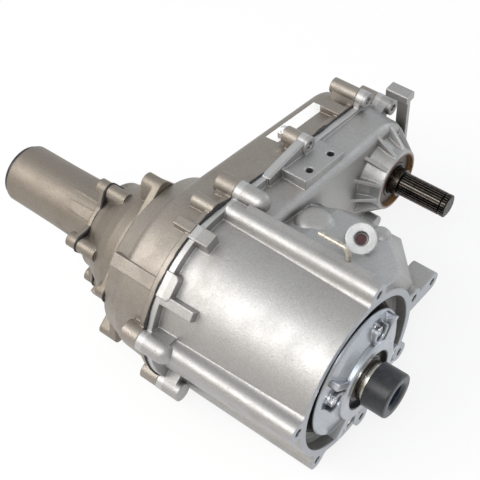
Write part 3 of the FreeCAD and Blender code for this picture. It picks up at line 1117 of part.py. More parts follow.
def rear_bearing_retainer():
    y0 = REAR_SEAT_Y + SEALANT / 2
    y1 = TAIL_SEAT_Y - SEALANT / 2
    flange = rod(0, 0, DOME_FLANGE_R, y0, y0 + DOME_FLANGE_THICK)
    ears = []
    holes = []
    for a, r, ear_r, length in DOME_TABS + DOME_EARS:
        x, z = polar(r, a)
        ears.append(lug(a, r, ear_r, DOME_FLANGE_R - 4, y0, y0 + DOME_FLANGE_THICK))
        ears.append(rod(x, z, ear_r, y0, REAR_SEAT_Y + length))
        ears.append(radial_block(a, DOME_FLANGE_R - 26, r, ear_r * 2, y0, REAR_SEAT_Y + length))
    for a, r, ear_r, length in DOME_EARS:
        x, z = polar(r, a)
        end = REAR_SEAT_Y + length
        holes.append(rod(x, z, DOME_BOLT_R + HOLE_CLEARANCE, y0 - 1, end + 1))
        holes.append(rod(x, z, DOME_BOLT_HEAD_R + RUNNING_GAP, end - 6, end + 12))
    profile = [(0, y0), (DOME_FLANGE_R - 4, y0), (DOME_FLANGE_R - 4, y0 + 14), (DOME_FLANGE_R - 7, y0 + 28),
               (DOME_FLANGE_R - 13, y0 + 42), (DOME_FLANGE_R - 20, y1 - 17), (DOME_NECK_R + 5, y1 - 9),
               (DOME_NECK_R + 1.5, y1), (0, y1)]
    dome = turned(profile)
    bosses = []
    for a in TAIL_BOLT_ANGLES:
        x, z = polar(TAIL_BOLT_CIRCLE_R, a)
        bosses.append(rod(x, z, TAIL_BOSS_R, TAIL_BOSS_FRONT_Y, y1))
        bosses.append(belt(TAIL_BOSS_FRONT_Y + 4, y1, TAIL_BOSS_R, TAIL_BOSS_R,
                           x, z, *polar(TAIL_FLANGE_R - 20, a)))
        holes.append(rod(x, z, TAIL_BOLT_R + HOLE_CLEARANCE, TAIL_BOSS_FRONT_Y + 6, y1 + 1))
    rib = radial_block(196, 60, 84, 10, y0, y0 + 46)
    outside = flange.fuse(ears + [dome, rib] + bosses)
    inner, outer, width = REAR_BEARING
    hollow_y = REAR_BEARING_Y + width + 3
    hollow = turned([(0, hollow_y), (DOME_FLANGE_R - 22, hollow_y), (DOME_FLANGE_R - 24, y0 + 42),
                     (DOME_NECK_R - 9, y1 - 15), (DOME_NECK_R - 14, y1 + 1), (0, y1 + 1)])
    front_hollow = rod(0, 0, outer + 8, y0 - 1, REAR_BEARING_Y - 4)
    bores = [rod(0, 0, outer + FIT / 2, REAR_BEARING_Y - 5, REAR_BEARING_Y + width + 0.2),
             rod(0, 0, outer - 6, y0 - 1, REAR_BEARING_Y + width + 10)]
    return outside.cut([hollow, front_hollow] + bores + holes).removeSplitter()


def retainer_sealant():
    y0 = REAR_SEAT_Y - SEALANT / 2
    y1 = REAR_SEAT_Y + SEALANT / 2
    disc = rod(0, 0, DOME_FLANGE_R + 0.7, y0, y1)
    ears = [lug(a, r, ear_r + 0.5, DOME_FLANGE_R - 4, y0, y1) for a, r, ear_r, length in DOME_EARS]
    holes = [rod(*polar(r, a), DOME_BOLT_R + HOLE_CLEARANCE, y0 - 1, y1 + 1)
             for a, r, ear_r, length in DOME_EARS]
    return disc.fuse(ears).cut(holes + [rod(0, 0, REAR_BEARING[1] + 10, y0 - 1, y1 + 1)]).removeSplitter()


def dome_bolts():
    bolts = []
    for a, r, ear_r, length in DOME_EARS:
        x, z = polar(r, a)
        bolts.append(socket_screw(x, z, DOME_BOLT_R, DOME_BOLT_HEAD_R, REAR_SEAT_Y + length - 6, 4.5,
                                  REAR_SEAT_Y - 20))
    return Part.makeCompound(bolts)


def extension_housing():
    y0 = TAIL_SEAT_Y + SEALANT / 2
    back_y = y0 + TAIL_FLANGE_THICK
    body = turned([(0, y0), (TAIL_FLANGE_R, y0), (TAIL_FLANGE_R, back_y), (TAIL_ROOT_R + 6, back_y + 1),
                   (TAIL_ROOT_R + 1, back_y + 5), (TAIL_ROOT_R - 2, TAIL_SEAT_Y + 50),
                   (TAIL_R, TAIL_SEAT_Y + 90),
                   (TAIL_R - 0.4, TAIL_END_Y - 1.5), (TAIL_R - 1.9, TAIL_END_Y), (0, TAIL_END_Y)])
    lugs = []
    holes = []
    for a in TAIL_BOLT_ANGLES:
        x, z = polar(TAIL_BOLT_CIRCLE_R, a)
        lugs.append(belt(y0, y0 + TAIL_FLANGE_THICK, TAIL_FLANGE_R - 14, TAIL_BOSS_R, x, z))
        lugs.append(rod(x, z, TAIL_BOSS_R, y0, TAIL_BOSS_END_Y))
        holes.append(rod(x, z, TAIL_BOLT_R + HOLE_CLEARANCE, y0 - 1, TAIL_BOSS_END_Y + 1))
        holes.append(rod(x, z, TAIL_BOLT_HEAD_R + RUNNING_GAP, TAIL_BOSS_END_Y - 5, TAIL_BOSS_END_Y + 1))
    ribs = []
    for a in TAIL_RIB_ANGLES:
        points = [V(TAIL_R - 4, y0 + 4, -8), V(TAIL_ROOT_R + 1.6, y0 + 4, -8),
                  V(TAIL_R - 1.2, TAIL_RIB_END_Y, -4), V(TAIL_R - 4, TAIL_RIB_END_Y, -4)]
        side = [V(p.x, p.y, -p.z) for p in points]
        flanks = [Part.makePolygon(points + points[:1]), Part.makePolygon(side + side[:1])]
        rib = Part.makeLoft(flanks, True, True)
        rib.rotate(V(0, 0, 0), V(0, 1, 0), -a)
        ribs.append(rib)
    seal_y = TAIL_END_Y - TAIL_SEAL_THICK
    bore = turned([(0, y0 - 1), (DOME_NECK_R - 14, y0 - 1), (DOME_NECK_R - 15, y0 + 8),
                   (TAIL_BORE_R, y0 + 24),
                   (TAIL_BORE_R - 3, seal_y - BUSHING_LENGTH - 2), (BUSHING_R, seal_y - BUSHING_LENGTH),
                   (BUSHING_R, seal_y), (TAIL_R - 5, seal_y), (TAIL_R - 5, TAIL_END_Y + 1),
                   (0, TAIL_END_Y + 1)])
    return body.fuse(lugs + ribs).cut([bore] + holes).removeSplitter()


def extension_sealant():
    y0 = TAIL_SEAT_Y - SEALANT / 2
    y1 = TAIL_SEAT_Y + SEALANT / 2
    disc = rod(0, 0, TAIL_FLANGE_R - 1, y0, y1)
    spots = [polar(TAIL_BOLT_CIRCLE_R, a) for a in TAIL_BOLT_ANGLES]
    lugs = [belt(y0, y1, TAIL_FLANGE_R - 14, TAIL_BOSS_R, x, z) for x, z in spots]
    holes = [rod(x, z, TAIL_BOLT_R + HOLE_CLEARANCE, y0 - 1, y1 + 1) for x, z in spots]
    return disc.fuse(lugs).cut(holes + [rod(0, 0, DOME_NECK_R - 10, y0 - 1, y1 + 1)]).removeSplitter()


def extension_bolts():
    bolts = []
    for a in TAIL_BOLT_ANGLES:
        x, z = polar(TAIL_BOLT_CIRCLE_R, a)
        bolts.append(socket_screw(x, z, TAIL_BOLT_R, TAIL_BOLT_HEAD_R, TAIL_BOSS_END_Y - 5, 4.4,
                                  TAIL_BOSS_FRONT_Y + 8))
    return Part.makeCompound(bolts)


def extension_bushing():
    y1 = TAIL_END_Y - TAIL_SEAL_THICK
    return tube(0, 0, BUSHING_R - FIT / 2, BUSHING_BORE_R, y1 - BUSHING_LENGTH + 1, y1 - 1)


def tail_seal():
    y1 = TAIL_END_Y
    seat = TAIL_R - 5 - FIT / 2
    lip_r = BUSHING_BORE_R + 0.6
    return turned([(seat, y1 - TAIL_SEAL_THICK + 0.5), (seat, y1 + 1), (seat - 2, y1 + 1.6),
                   (lip_r + 6, y1 + 1.6),
                   (lip_r + 5.5, y1 + TAIL_LIP), (lip_r + 3.5, y1 + TAIL_LIP + 0.4), (lip_r + 2.4, y1 - 1),
                   (lip_r, y1 - 5), (lip_r, y1 - 7), (lip_r + 3.4, y1 - 6), (seat - 2, y1 - 3),
                   (seat - 2, y1 - TAIL_SEAL_THICK + 0.5)])


# Small outside parts

def vent_tube():
    """A bent breather pipe: up out of the case, then rearward."""
    bend_y = VENT_Y + VENT_BEND_R
    turn_start = V(VENT_X, VENT_Y, VENT_BEND_Z - VENT_BEND_R)
    turn_end = V(VENT_X, bend_y, VENT_BEND_Z)
    sag = VENT_BEND_R * (1 - math.sqrt(0.5))
    middle = V(VENT_X, VENT_Y + sag, VENT_BEND_Z - sag)
    path = Part.Wire([Part.LineSegment(V(VENT_X, VENT_Y, VENT_FOOT_Z), turn_start).toShape(),
                      Part.Arc(turn_start, middle, turn_end).toShape(),
                      Part.LineSegment(turn_end, V(VENT_X, VENT_END_Y, VENT_BEND_Z)).toShape()])

    def pipe(radius):
        ring = Part.Wire(Part.makeCircle(radius, V(VENT_X, VENT_Y, VENT_FOOT_Z), V(0, 0, 1)))
        return path.makePipeShell([ring], True, False)

    return pipe(VENT_R).cut(pipe(VENT_BORE_R))


def blank_label():
    """A blank paper label on the sloping top of the rear half."""
    window = Part.makeBox(98, 18, 60, V(164, 230, 50))
    return rear_outside(0.35).common(window).cut(rear_outside(0.02))


def port_insert():
    """The red detent plug seen down the indicator port."""
    aim = V(*PORT_AIM)
    aim.normalize()
    foot = V(*PORT_FACE) - aim * (PORT_HOLE_DEPTH + 8.3)
    return Part.makeCylinder(PORT_INNER_R - FIT, 8, foot, aim)


def needle_bearings():
    """The caged needles under the drive sprocket and round the mainshaft's pilot."""
    outer = MAINSHAFT_R + 2 * NEEDLE_R + FIT
    under_sprocket = tube(0, 0, outer, MAINSHAFT_R, CHAIN_Y - 2, CHAIN_Y + CHAIN_WIDTH + 2)
    pilot = tube(0, 0, PILOT_R + 2 * NEEDLE_R + FIT, PILOT_R, PILOT_Y + 1, RANGE_NOSE_Y - 3)
    return Part.makeCompound([under_sprocket, pilot])


PARTS = {
    "front_case_half": front_case_half,
    "rear_case_half": rear_case_half,
    "case_sealant": case_sealant,
    "case_bolts": case_bolts,
    "input_bearing_retainer": input_bearing_retainer,
    "retainer_bolts": retainer_bolts,
    "input_shaft_seal": lambda: lip_seal(0, INPUT_SHAFT_R, INPUT_SEAL_R, RETAINER_FACE_Y + 0.5,
                                         INPUT_SEAL_THICK - 0.5),
    "input_bearing_outer_race": lambda: bearing_races(INPUT_BEARING, INPUT_BEARING_Y)[0],
    "input_bearing_inner_race": lambda: bearing_races(INPUT_BEARING, INPUT_BEARING_Y)[1],
    "input_bearing_rollers": lambda: roller_set(INPUT_BEARING, INPUT_BEARING_Y),
    "input_shaft": input_shaft,
    "shipping_cap": shipping_cap,
    "annulus_gear": annulus_gear,
    "planet_carrier": planet_carrier,
    "planet_pins": planet_pins,
    "mainshaft": mainshaft,
    "range_collar": range_collar,
    "mode_sleeve": mode_sleeve,
    "range_fork": range_fork,
    "mode_fork": mode_fork,
    "shift_rail": shift_rail,
    "shift_sector": shift_sector,
    "sector_shaft": sector_shaft,
    "drive_sprocket": lambda: sprocket(0, MAINSHAFT_R + 2 * NEEDLE_R + 2 * FIT, SPROCKET_NOSE),
    "needle_bearings": needle_bearings,
    "drive_chain": drive_chain,
    "driven_sprocket": lambda: sprocket(SHAFT_CENTRES, OUTPUT_BEARING[0] + 2 + 0.02, 0),
    "front_output_shaft": output_shaft,
    "front_output_seal": lambda: lip_seal(SHAFT_CENTRES, OUTPUT_COLLAR_R, OUTPUT_SEAL_R, OUTPUT_SNOUT_Y - 0.4,
                                          OUTPUT_SEAL_THICK),
    "output_bearing_outer_race": lambda: bearing_races(OUTPUT_BEARING, OUTPUT_BEARING_Y, SHAFT_CENTRES)[0],
    "output_bearing_inner_race": lambda: bearing_races(OUTPUT_BEARING, OUTPUT_BEARING_Y, SHAFT_CENTRES)[1],
    "output_bearing_rollers": lambda: roller_set(OUTPUT_BEARING, OUTPUT_BEARING_Y, SHAFT_CENTRES),
    "output_tail_bearing": output_tail_bearing,
    "oil_pump": oil_pump,
    "pump_rotor": pump_rotor,
    "oil_pickup": oil_pickup,
    "magnet": magnet,
    "rear_bearing_outer_race": lambda: bearing_races(REAR_BEARING, REAR_BEARING_Y)[0],
    "rear_bearing_inner_race": lambda: bearing_races(REAR_BEARING, REAR_BEARING_Y)[1],
    "rear_bearing_rollers": lambda: roller_set(REAR_BEARING, REAR_BEARING_Y),
    "tone_wheel": tone_wheel,
    "snap_rings": snap_rings,
    "rear_bearing_retainer": rear_bearing_retainer,
    "rear_retainer_sealant": retainer_sealant,
    "rear_retainer_bolts": dome_bolts,
    "extension_housing": extension_housing,
    "extension_sealant": extension_sealant,
    "extension_bolts": extension_bolts,
    "extension_bushing": extension_bushing,
    "tail_seal": tail_seal,
    "vent_tube": vent_tube,
    "case_plugs": lambda: Part.makeCompound([plug(spot) for spot in PLUG_SPOTS]),
    "port_plug": port_insert,
    "blank_label": blank_label,
}
for k in range(PLANETS):
    PARTS["planet_gear_%d" % (k + 1)] = lambda k=k: planet_gear(k)

for name, make in PARTS.items():
    shape = make()
    shape.exportStep("parts/%s.step" % name)
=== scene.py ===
import math

import bpy
from mathutils import Matrix, Vector, noise
from mathutils.bvhtree import BVHTree


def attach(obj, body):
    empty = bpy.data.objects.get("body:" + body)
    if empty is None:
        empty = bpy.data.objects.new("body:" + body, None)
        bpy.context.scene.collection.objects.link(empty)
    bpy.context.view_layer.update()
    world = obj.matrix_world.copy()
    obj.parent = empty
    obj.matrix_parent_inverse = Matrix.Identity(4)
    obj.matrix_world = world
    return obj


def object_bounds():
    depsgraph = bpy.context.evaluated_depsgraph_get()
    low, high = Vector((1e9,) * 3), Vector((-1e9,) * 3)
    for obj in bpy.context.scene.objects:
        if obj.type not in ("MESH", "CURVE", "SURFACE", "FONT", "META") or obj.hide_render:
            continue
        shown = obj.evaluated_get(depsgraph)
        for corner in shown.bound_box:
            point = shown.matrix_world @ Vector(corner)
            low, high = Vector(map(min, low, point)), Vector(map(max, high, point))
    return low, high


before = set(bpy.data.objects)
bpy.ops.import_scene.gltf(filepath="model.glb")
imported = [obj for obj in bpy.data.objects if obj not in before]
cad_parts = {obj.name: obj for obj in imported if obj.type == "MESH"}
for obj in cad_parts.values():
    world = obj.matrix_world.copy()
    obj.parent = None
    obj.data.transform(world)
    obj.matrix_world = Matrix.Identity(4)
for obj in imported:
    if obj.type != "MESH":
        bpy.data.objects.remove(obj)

cad_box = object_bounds()


# Front half of the case: one aluminium casting that holds the input flange, the long snout,
# the shift housing and the output snout. It is shot-blasted after casting; the flange face
# and the lip of the joint are milled. The handled edges and the lip are painted brighter, partly as
# rubbed and milled metal, partly as painted highlight; painted shade darkens the inside corners
# and the deep gap round the input retainer.

def open_group(name, inputs, outputs):
    """A new node group, from (label, kind, value) inputs and (label, kind) outputs."""
    tree = bpy.data.node_groups.new(name, "ShaderNodeTree")
    for label, kind, value in inputs:
        tree.interface.new_socket(label, in_out="INPUT", socket_type=kind).default_value = value
    for label, kind in outputs:
        tree.interface.new_socket(label, in_out="OUTPUT", socket_type=kind)
    return tree, tree.nodes.new("NodeGroupInput"), tree.nodes.new("NodeGroupOutput")


def feed(tree, socket, value):
    """Gives a socket what it is to show: another socket, a colour or a plain number."""
    if isinstance(value, bpy.types.NodeSocket):
        tree.links.new(value, socket)
    elif isinstance(value, tuple):
        socket.default_value = value + (1.0,)
    else:
        socket.default_value = value


def math_step(tree, operation, first, second=0.0, clamp=False):
    """One step of arithmetic on two sockets or numbers."""
    node = tree.nodes.new("ShaderNodeMath")
    node.operation = operation
    node.use_clamp = clamp
    feed(tree, node.inputs[0], first)
    feed(tree, node.inputs[1], second)
    return node.outputs[0]


def spread(tree, value, low, high, to_low=0.0, to_high=1.0):
    """A soft ramp that goes from to_low to to_high while the value goes from low to high."""
    node = tree.nodes.new("ShaderNodeMapRange")
    node.interpolation_type = "SMOOTHSTEP"
    for label, limit in (("From Min", low), ("From Max", high), ("To Min", to_low), ("To Max", to_high)):
        node.inputs[label].default_value = limit
    tree.links.new(value, node.inputs["Value"])
    return node.outputs["Result"]


def blend_colour(tree, factor, first, second, mode="MIX"):
    """Two colours mixed by a factor. A Mix node takes colours in its sockets 6 and 7."""
    node = tree.nodes.new("ShaderNodeMix")
    node.data_type = "RGBA"
    node.blend_type = mode
    for number, value in ((0, factor), (6, first), (7, second)):
        feed(tree, node.inputs[number], value)
    return node.outputs[2]


def speckle(tree, scale, detail, roughness=0.5, place=None):
    """Cloudy noise fixed to the piece, as a mask from 0 to 1."""
    if place is None:
        place = tree.nodes.new("ShaderNodeTexCoord").outputs["Object"]
    node = tree.nodes.new("ShaderNodeTexNoise")
    node.inputs["Detail"].default_value = detail
    node.inputs["Roughness"].default_value = roughness
    feed(tree, node.inputs["Scale"], scale)
    tree.links.new(place, node.inputs["Vector"])
    return node.outputs["Fac"]


def make_blasted_grain():
    """Fine blasted skin with soft mottling and a few pits; the normal it takes in is kept."""
    tree, given, result = open_group("blasted grain", [
        ("Base", "NodeSocketColor", (0.6, 0.6, 0.6, 1)), ("Stain", "NodeSocketColor", (0.4, 0.36, 0.3, 1)),
        ("Stain Amount", "NodeSocketFloat", 0.4), ("Grain Size", "NodeSocketFloat", 520.0),
        ("Grain Depth", "NodeSocketFloat", 0.25), ("Gloss Low", "NodeSocketFloat", 0.36),
        ("Gloss High", "NodeSocketFloat", 0.5), ("Normal", "NodeSocketVector", (0, 0, 0))],
        [("Color", "NodeSocketColor"), ("Roughness", "NodeSocketFloat"), ("Normal", "NodeSocketVector")])
    dark_grain, pale_grain, pit_brown = (0.84, 0.84, 0.84), (1.0, 1.0, 1.0), (0.14, 0.13, 0.12)
    pit_darkness, pit_height, grain_height = 0.12, 0.8, 0.0006

    grain = speckle(tree, scale=given.outputs["Grain Size"], detail=3.0, roughness=0.65)
    mottle = speckle(tree, scale=38.0, detail=4.0, roughness=0.6)
    clouds = speckle(tree, scale=9.0, detail=3.0, roughness=0.55)
    pits = spread(tree, speckle(tree, scale=240.0, detail=1.0), 0.70, 0.78)

    dirt = math_step(tree, "MULTIPLY", spread(tree, clouds, 0.42, 0.66), spread(tree, mottle, 0.35, 0.75))
    dirt = math_step(tree, "MULTIPLY", dirt, given.outputs["Stain Amount"], clamp=True)
    colour = blend_colour(tree, dirt, given.outputs["Base"], given.outputs["Stain"])
    sparkle = blend_colour(tree, spread(tree, grain, 0.3, 0.7), dark_grain, pale_grain)
    colour = blend_colour(tree, 1.0, colour, sparkle, "MULTIPLY")
    colour = blend_colour(tree, math_step(tree, "MULTIPLY", pits, pit_darkness), colour, pit_brown)
    tree.links.new(colour, result.inputs["Color"])

    gloss = math_step(tree, "SUBTRACT", given.outputs["Gloss High"], given.outputs["Gloss Low"])
    gloss = math_step(tree, "MULTIPLY", gloss, spread(tree, mottle, 0.25, 0.75))
    tree.links.new(math_step(tree, "ADD", gloss, given.outputs["Gloss Low"]), result.inputs["Roughness"])

    bump = tree.nodes.new("ShaderNodeBump")
    bump.inputs["Distance"].default_value = grain_height
    height = math_step(tree, "SUBTRACT", grain, math_step(tree, "MULTIPLY", pits, pit_height))
    tree.links.new(height, bump.inputs["Height"])
    tree.links.new(given.outputs["Grain Depth"], bump.inputs["Strength"])
    tree.links.new(given.outputs["Normal"], bump.inputs["Normal"])
    tree.links.new(bump.outputs["Normal"], result.inputs["Normal"])
    return tree


def make_rounded_edge():
    """Rounds sharp edges in the shading and marks them, so that edges can be painted brighter; on the
    castings this is partly rubbed wear and partly painted highlight.
    """
    tree, given, result = open_group("rounded edge", [("Radius", "NodeSocketFloat", 0.0012)],
                                     [("Edge", "NodeSocketFloat"), ("Normal", "NodeSocketVector")])
    flat_match, edge_match = 0.985, 0.86
    bevel = tree.nodes.new("ShaderNodeBevel")
    bevel.samples = 6
    tree.links.new(given.outputs["Radius"], bevel.inputs["Radius"])
    compare = tree.nodes.new("ShaderNodeVectorMath")
    compare.operation = "DOT_PRODUCT"
    tree.links.new(bevel.outputs["Normal"], compare.inputs[0])
    tree.links.new(tree.nodes.new("ShaderNodeNewGeometry").outputs["Normal"], compare.inputs[1])
    tree.links.new(spread(tree, compare.outputs["Value"], flat_match, edge_match), result.inputs["Edge"])
    tree.links.new(bevel.outputs["Normal"], result.inputs["Normal"])
    return tree


def make_corner_shade():
    """Painted shade in inside corners, from how closed in each point is."""
    tree, given, result = open_group("corner shade", [("Reach", "NodeSocketFloat", 0.02)],
                                     [("Shade", "NodeSocketFloat")])
    open_sky, closed_in = 0.75, 0.15
    hollow = tree.nodes.new("ShaderNodeAmbientOcclusion")
    hollow.samples = 6
    hollow.only_local = True
    tree.links.new(given.outputs["Reach"], hollow.inputs["Distance"])
    tree.links.new(spread(tree, hollow.outputs["AO"], open_sky, closed_in), result.inputs["Shade"])
    return tree


blasted_grain = make_blasted_grain()
rounded_edge = make_rounded_edge()
corner_shade = make_corner_shade()


def place_group(tree, group, **values):
    """A node group placed in a material. Its inputs go by name, with _ in place of a space."""
    node = tree.nodes.new("ShaderNodeGroup")
    node.node_tree = group
    for label, value in values.items():
        feed(tree, node.inputs[label.replace("_", " ")], value)
    return node


def new_material(name, metal, gloss, colour=(0.5, 0.5, 0.5)):
    """A material with its node tree and its surface shader."""
    material = bpy.data.materials.new(name)
    material.use_nodes = True
    surface = material.node_tree.nodes["Principled BSDF"]
    surface.inputs["Metallic"].default_value = metal
    surface.inputs["Roughness"].default_value = gloss
    surface.inputs["Base Color"].default_value = colour + (1.0,)
    return material, material.node_tree, surface


def coat(tree, surface, colour, gloss=None, normal=None):
    """Joins the finished colour, gloss and normal to the material's surface shader."""
    for label, value in (("Base Color", colour), ("Roughness", gloss), ("Normal", normal)):
        if value is not None:
            tree.links.new(value, surface.inputs[label])


def dress(material, *nodes):
    """Gives named pieces of the frame one material all over."""
    for node in nodes:
        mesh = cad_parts[node].data
        mesh.materials.clear()
        mesh.materials.append(material)


def place_parts(tree):
    """The X, Y and Z of a point on the piece, in metres."""
    split = tree.nodes.new("ShaderNodeSeparateXYZ")
    tree.links.new(tree.nodes.new("ShaderNodeTexCoord").outputs["Object"], split.inputs[0])
    return split.outputs


def distance_back(tree):
    """How far behind the flange face a point is."""
    return place_parts(tree)["Y"]


def distance_from(tree, shaft_x):
    """How far a point is from a shaft line, which runs along Y at Z = 0."""
    x, y, z = place_parts(tree)
    across = math_step(tree, "POWER", math_step(tree, "SUBTRACT", x, shaft_x), 2.0)
    up = math_step(tree, "POWER", z, 2.0)
    return math_step(tree, "SQRT", math_step(tree, "ADD", across, up))


def shaft_zone(tree, radius, back):
    """A mask round the main shaft line. Each pair says where it starts and where it is full."""
    round_shaft = spread(tree, distance_from(tree, 0.0), *radius)
    return math_step(tree, "MULTIPLY", round_shaft, spread(tree, distance_back(tree), *back))


def cast_aluminium(name, base, stain, stain_amount, gloss_low, gloss_high, edge, corner=0.5, depth=0.35):
    """Blasted cast skin, with painted shade in its corners, and edges painted brighter, partly as rubbed wear
    and partly as painted highlight.
    """
    corner_shade_brown, edge_wear_and_highlight = (0.11, 0.10, 0.09), 0.3
    material, tree, surface = new_material(name, metal=0.94, gloss=0.42)
    rim = place_group(tree, rounded_edge, Radius=0.0024)
    skin = place_group(tree, blasted_grain, Base=base, Stain=stain, Stain_Amount=stain_amount,
                       Grain_Depth=depth, Gloss_Low=gloss_low, Gloss_High=gloss_high,
                       Normal=rim.outputs["Normal"])
    shade = place_group(tree, corner_shade, Reach=0.022)
    # Inside corners are darkened towards a brown grey here: painted shade.
    corners = math_step(tree, "MULTIPLY", shade.outputs["Shade"], corner)
    colour = blend_colour(tree, corners, skin.outputs["Color"], corner_shade_brown)
    # Edges are painted brighter here: partly rubbed wear, partly painted highlight.
    colour = blend_colour(tree, math_step(tree, "MULTIPLY", rim.outputs["Edge"], edge_wear_and_highlight), colour, edge)
    return material, tree, surface, skin, colour


milled_grey, lip_milled_and_highlight, gap_shadow_black = (0.44, 0.46, 0.49), (0.62, 0.62, 0.62), (0.02, 0.02, 0.02)
lip_share = 0.5
silver_cast, tree, surface, skin, colour = cast_aluminium(
    "front case blasted aluminium", base=(0.455, 0.45, 0.445), stain=(0.37, 0.345, 0.31), stain_amount=0.5,
    gloss_low=0.45, gloss_high=0.57, edge=(0.66, 0.66, 0.66))
flange_face = spread(tree, distance_back(tree), 0.0012, 0.0004)
colour = blend_colour(tree, flange_face, colour, milled_grey)
# Painted shadow: the deep gap round the input retainer is darkened nearly to black.
gap = shaft_zone(tree, radius=(0.0835, 0.0822), back=(0.004, 0.010))
colour = blend_colour(tree, gap, colour, gap_shadow_black)
# The joint lip is painted lighter: partly milled metal, partly painted highlight.
joint_lip = shaft_zone(tree, radius=(0.1175, 0.1185), back=(0.1925, 0.1935))
colour = blend_colour(tree, math_step(tree, "MULTIPLY", joint_lip, lip_share), colour, lip_milled_and_highlight)
coat(tree, surface, colour, skin.outputs["Roughness"], skin.outputs["Normal"])
dress(silver_cast, "front_case_half")


# Webs of the shift housing: thin walls of the same casting. One closes the valley where the
# housing tapers towards the chain chest, the other the sloped face in front of the sector.

def new_piece(name, points, faces, material, smooth=True):
    """A piece from points and faces, of one material."""
    mesh = bpy.data.meshes.new(name)
    mesh.from_pydata(points, [], faces)
    if smooth:
        mesh.shade_smooth()
    mesh.materials.append(material)
    piece = bpy.data.objects.new(name, mesh)
    bpy.context.collection.objects.link(piece)
    return piece


def wall_web(name, rows):
    """A cast web, from rows of points on the housing's outer skin, made thick towards its inside."""
    room_middle, skin_depth, inner_depth = (0.100, 0.010), 0.0003, 0.0035
    skin = [Vector(point) for row in rows for point in row]
    inward = [(Vector((room_middle[0], point.y, room_middle[1])) - point).normalized() for point in skin]
    points = [point + way * depth
              for depth in (skin_depth, inner_depth) for point, way in zip(skin, inward)]
    wide, tall, back = len(rows[0]), len(rows), len(skin)
    faces = []
    for i in range(tall - 1):
        for k in range(wide - 1):
            a, b = i * wide + k, (i + 1) * wide + k
            faces += [(a, a + 1, b + 1, b), (back + a, back + b, back + b + 1, back + a + 1)]
    rim = list(range(wide - 1)) + [i * wide + wide - 1 for i in range(tall - 1)]
    rim += [back - 1 - k for k in range(wide - 1)] + [(tall - 1 - i) * wide for i in range(tall)]
    faces += [(b, a, a + back, b + back) for a, b in zip(rim, rim[1:])]
    web = new_piece(name, points, faces, silver_cast, smooth=False)
    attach(web, "case")


taper_start, taper_length, taper_x, taper_z = 0.116, 0.044, 0.10, 0.14
housing_corners = ((0.110, 0.0819), (0.125, 0.078), (0.158, 0.040), (0.158, -0.038), (0.140, -0.0463))
last_row_y = 0.153
last_row_corners = ((0.112, 0.0725), (0.130, 0.0645), (0.1527, 0.0375), (0.1527, -0.0335), (0.136, -0.0430))
tail_rows = []
for y in (0.130, 0.137, 0.144, 0.148):
    share = (y - taper_start) / taper_length
    tail_rows.append([(x * (1 - taper_x * share), y, z * (1 - taper_z * share)) for x, z in housing_corners])
tail_rows.append([(x, last_row_y, z) for x, z in last_row_corners])
wall_web("housing_tail_web", tail_rows)

slope_x, slope_y, slope_rise, slope_length = 0.112, 0.006, 0.046, 0.044
wall_web("housing_front_web", [[(slope_x + slope_rise * (y - slope_y) / slope_length, y, z)
                                for z in (0.037, 0.022, 0.007)] for y in (0.036, 0.041, 0.046)])


# Rear half of the case: a plainer sand casting behind the joint, duller and warmer than the
# front half. It holds the chain and the rear wall, and is bolted on from behind.

rear_cast, tree, surface, skin, colour = cast_aluminium(
    "rear case sand cast aluminium", base=(0.365, 0.332, 0.295), stain=(0.27, 0.235, 0.20), stain_amount=0.6,
    gloss_low=0.46, gloss_high=0.58, edge=(0.52, 0.48, 0.44))
coat(tree, surface, colour, skin.outputs["Roughness"], skin.outputs["Normal"])
dress(rear_cast, "rear_case_half")


# Sealant: black silicone put on the joints before the halves are bolted up. It is squeezed
# out along the edge in an uneven bead, thin in most places and in thick drops in a few.

sealant_black, tree, surface = new_material("squeezed black sealant", 0.0, 0.42, (0.012, 0.012, 0.013))
bump = tree.nodes.new("ShaderNodeBump")
bump.inputs["Strength"].default_value = 0.4
bump.inputs["Distance"].default_value = 0.0008
tree.links.new(speckle(tree, scale=420.0, detail=2.0), bump.inputs["Height"])
tree.links.new(bump.outputs["Normal"], surface.inputs["Normal"])
dress(sealant_black, "case_sealant", "rear_retainer_sealant", "extension_sealant")


def squeezed_bead(name, path, y, thin, thick, drops, seed):
    """A bead along a closed path of points and outward directions; drops are (x, y, z, reach)."""
    sides, short_waves, long_waves = 8, 90, 26
    step_along, step_round = 0.9, 1.7
    swell_power, swell_gain = 1.5, 1.6
    wander_share, rough_share, flat_share, stand_off = 0.5, 0.35, 0.75, 0.6
    points = []
    faces = []
    for i, (spot, out) in enumerate(path):
        wander = noise.noise(Vector((spot.x * short_waves, seed, spot.z * short_waves)))
        swell = noise.noise(Vector((spot.x * long_waves, seed + 5, spot.z * long_waves)))
        swell = max(0.0, swell) ** swell_power * swell_gain
        near = max([0.0] + [1.0 - (spot - Vector(drop)).length / reach for *drop, reach in drops])
        radius = thin * (1.0 + wander_share * wander) + (thick - thin) * min(1.0, swell + near)
        for k in range(sides):
            a = 2 * math.pi * k / sides
            rough = 1.0 + rough_share * noise.noise(Vector((i * step_along, k * step_round, seed)))
            reach = out * (radius * flat_share * math.cos(a) * rough + thin * stand_off)
            points.append((spot.x + reach.x,
                           y + radius * math.sin(a) * rough + thin * stand_off * wander,
                           spot.z + reach.z))
    count = len(path)
    for i in range(count):
        for k in range(sides):
            j, m = (i + 1) % count, (k + 1) % sides
            faces.append((i * sides + k, i * sides + m, j * sides + m, j * sides + k))
    bead = new_piece(name, points, faces, sealant_black)
    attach(bead, "case")


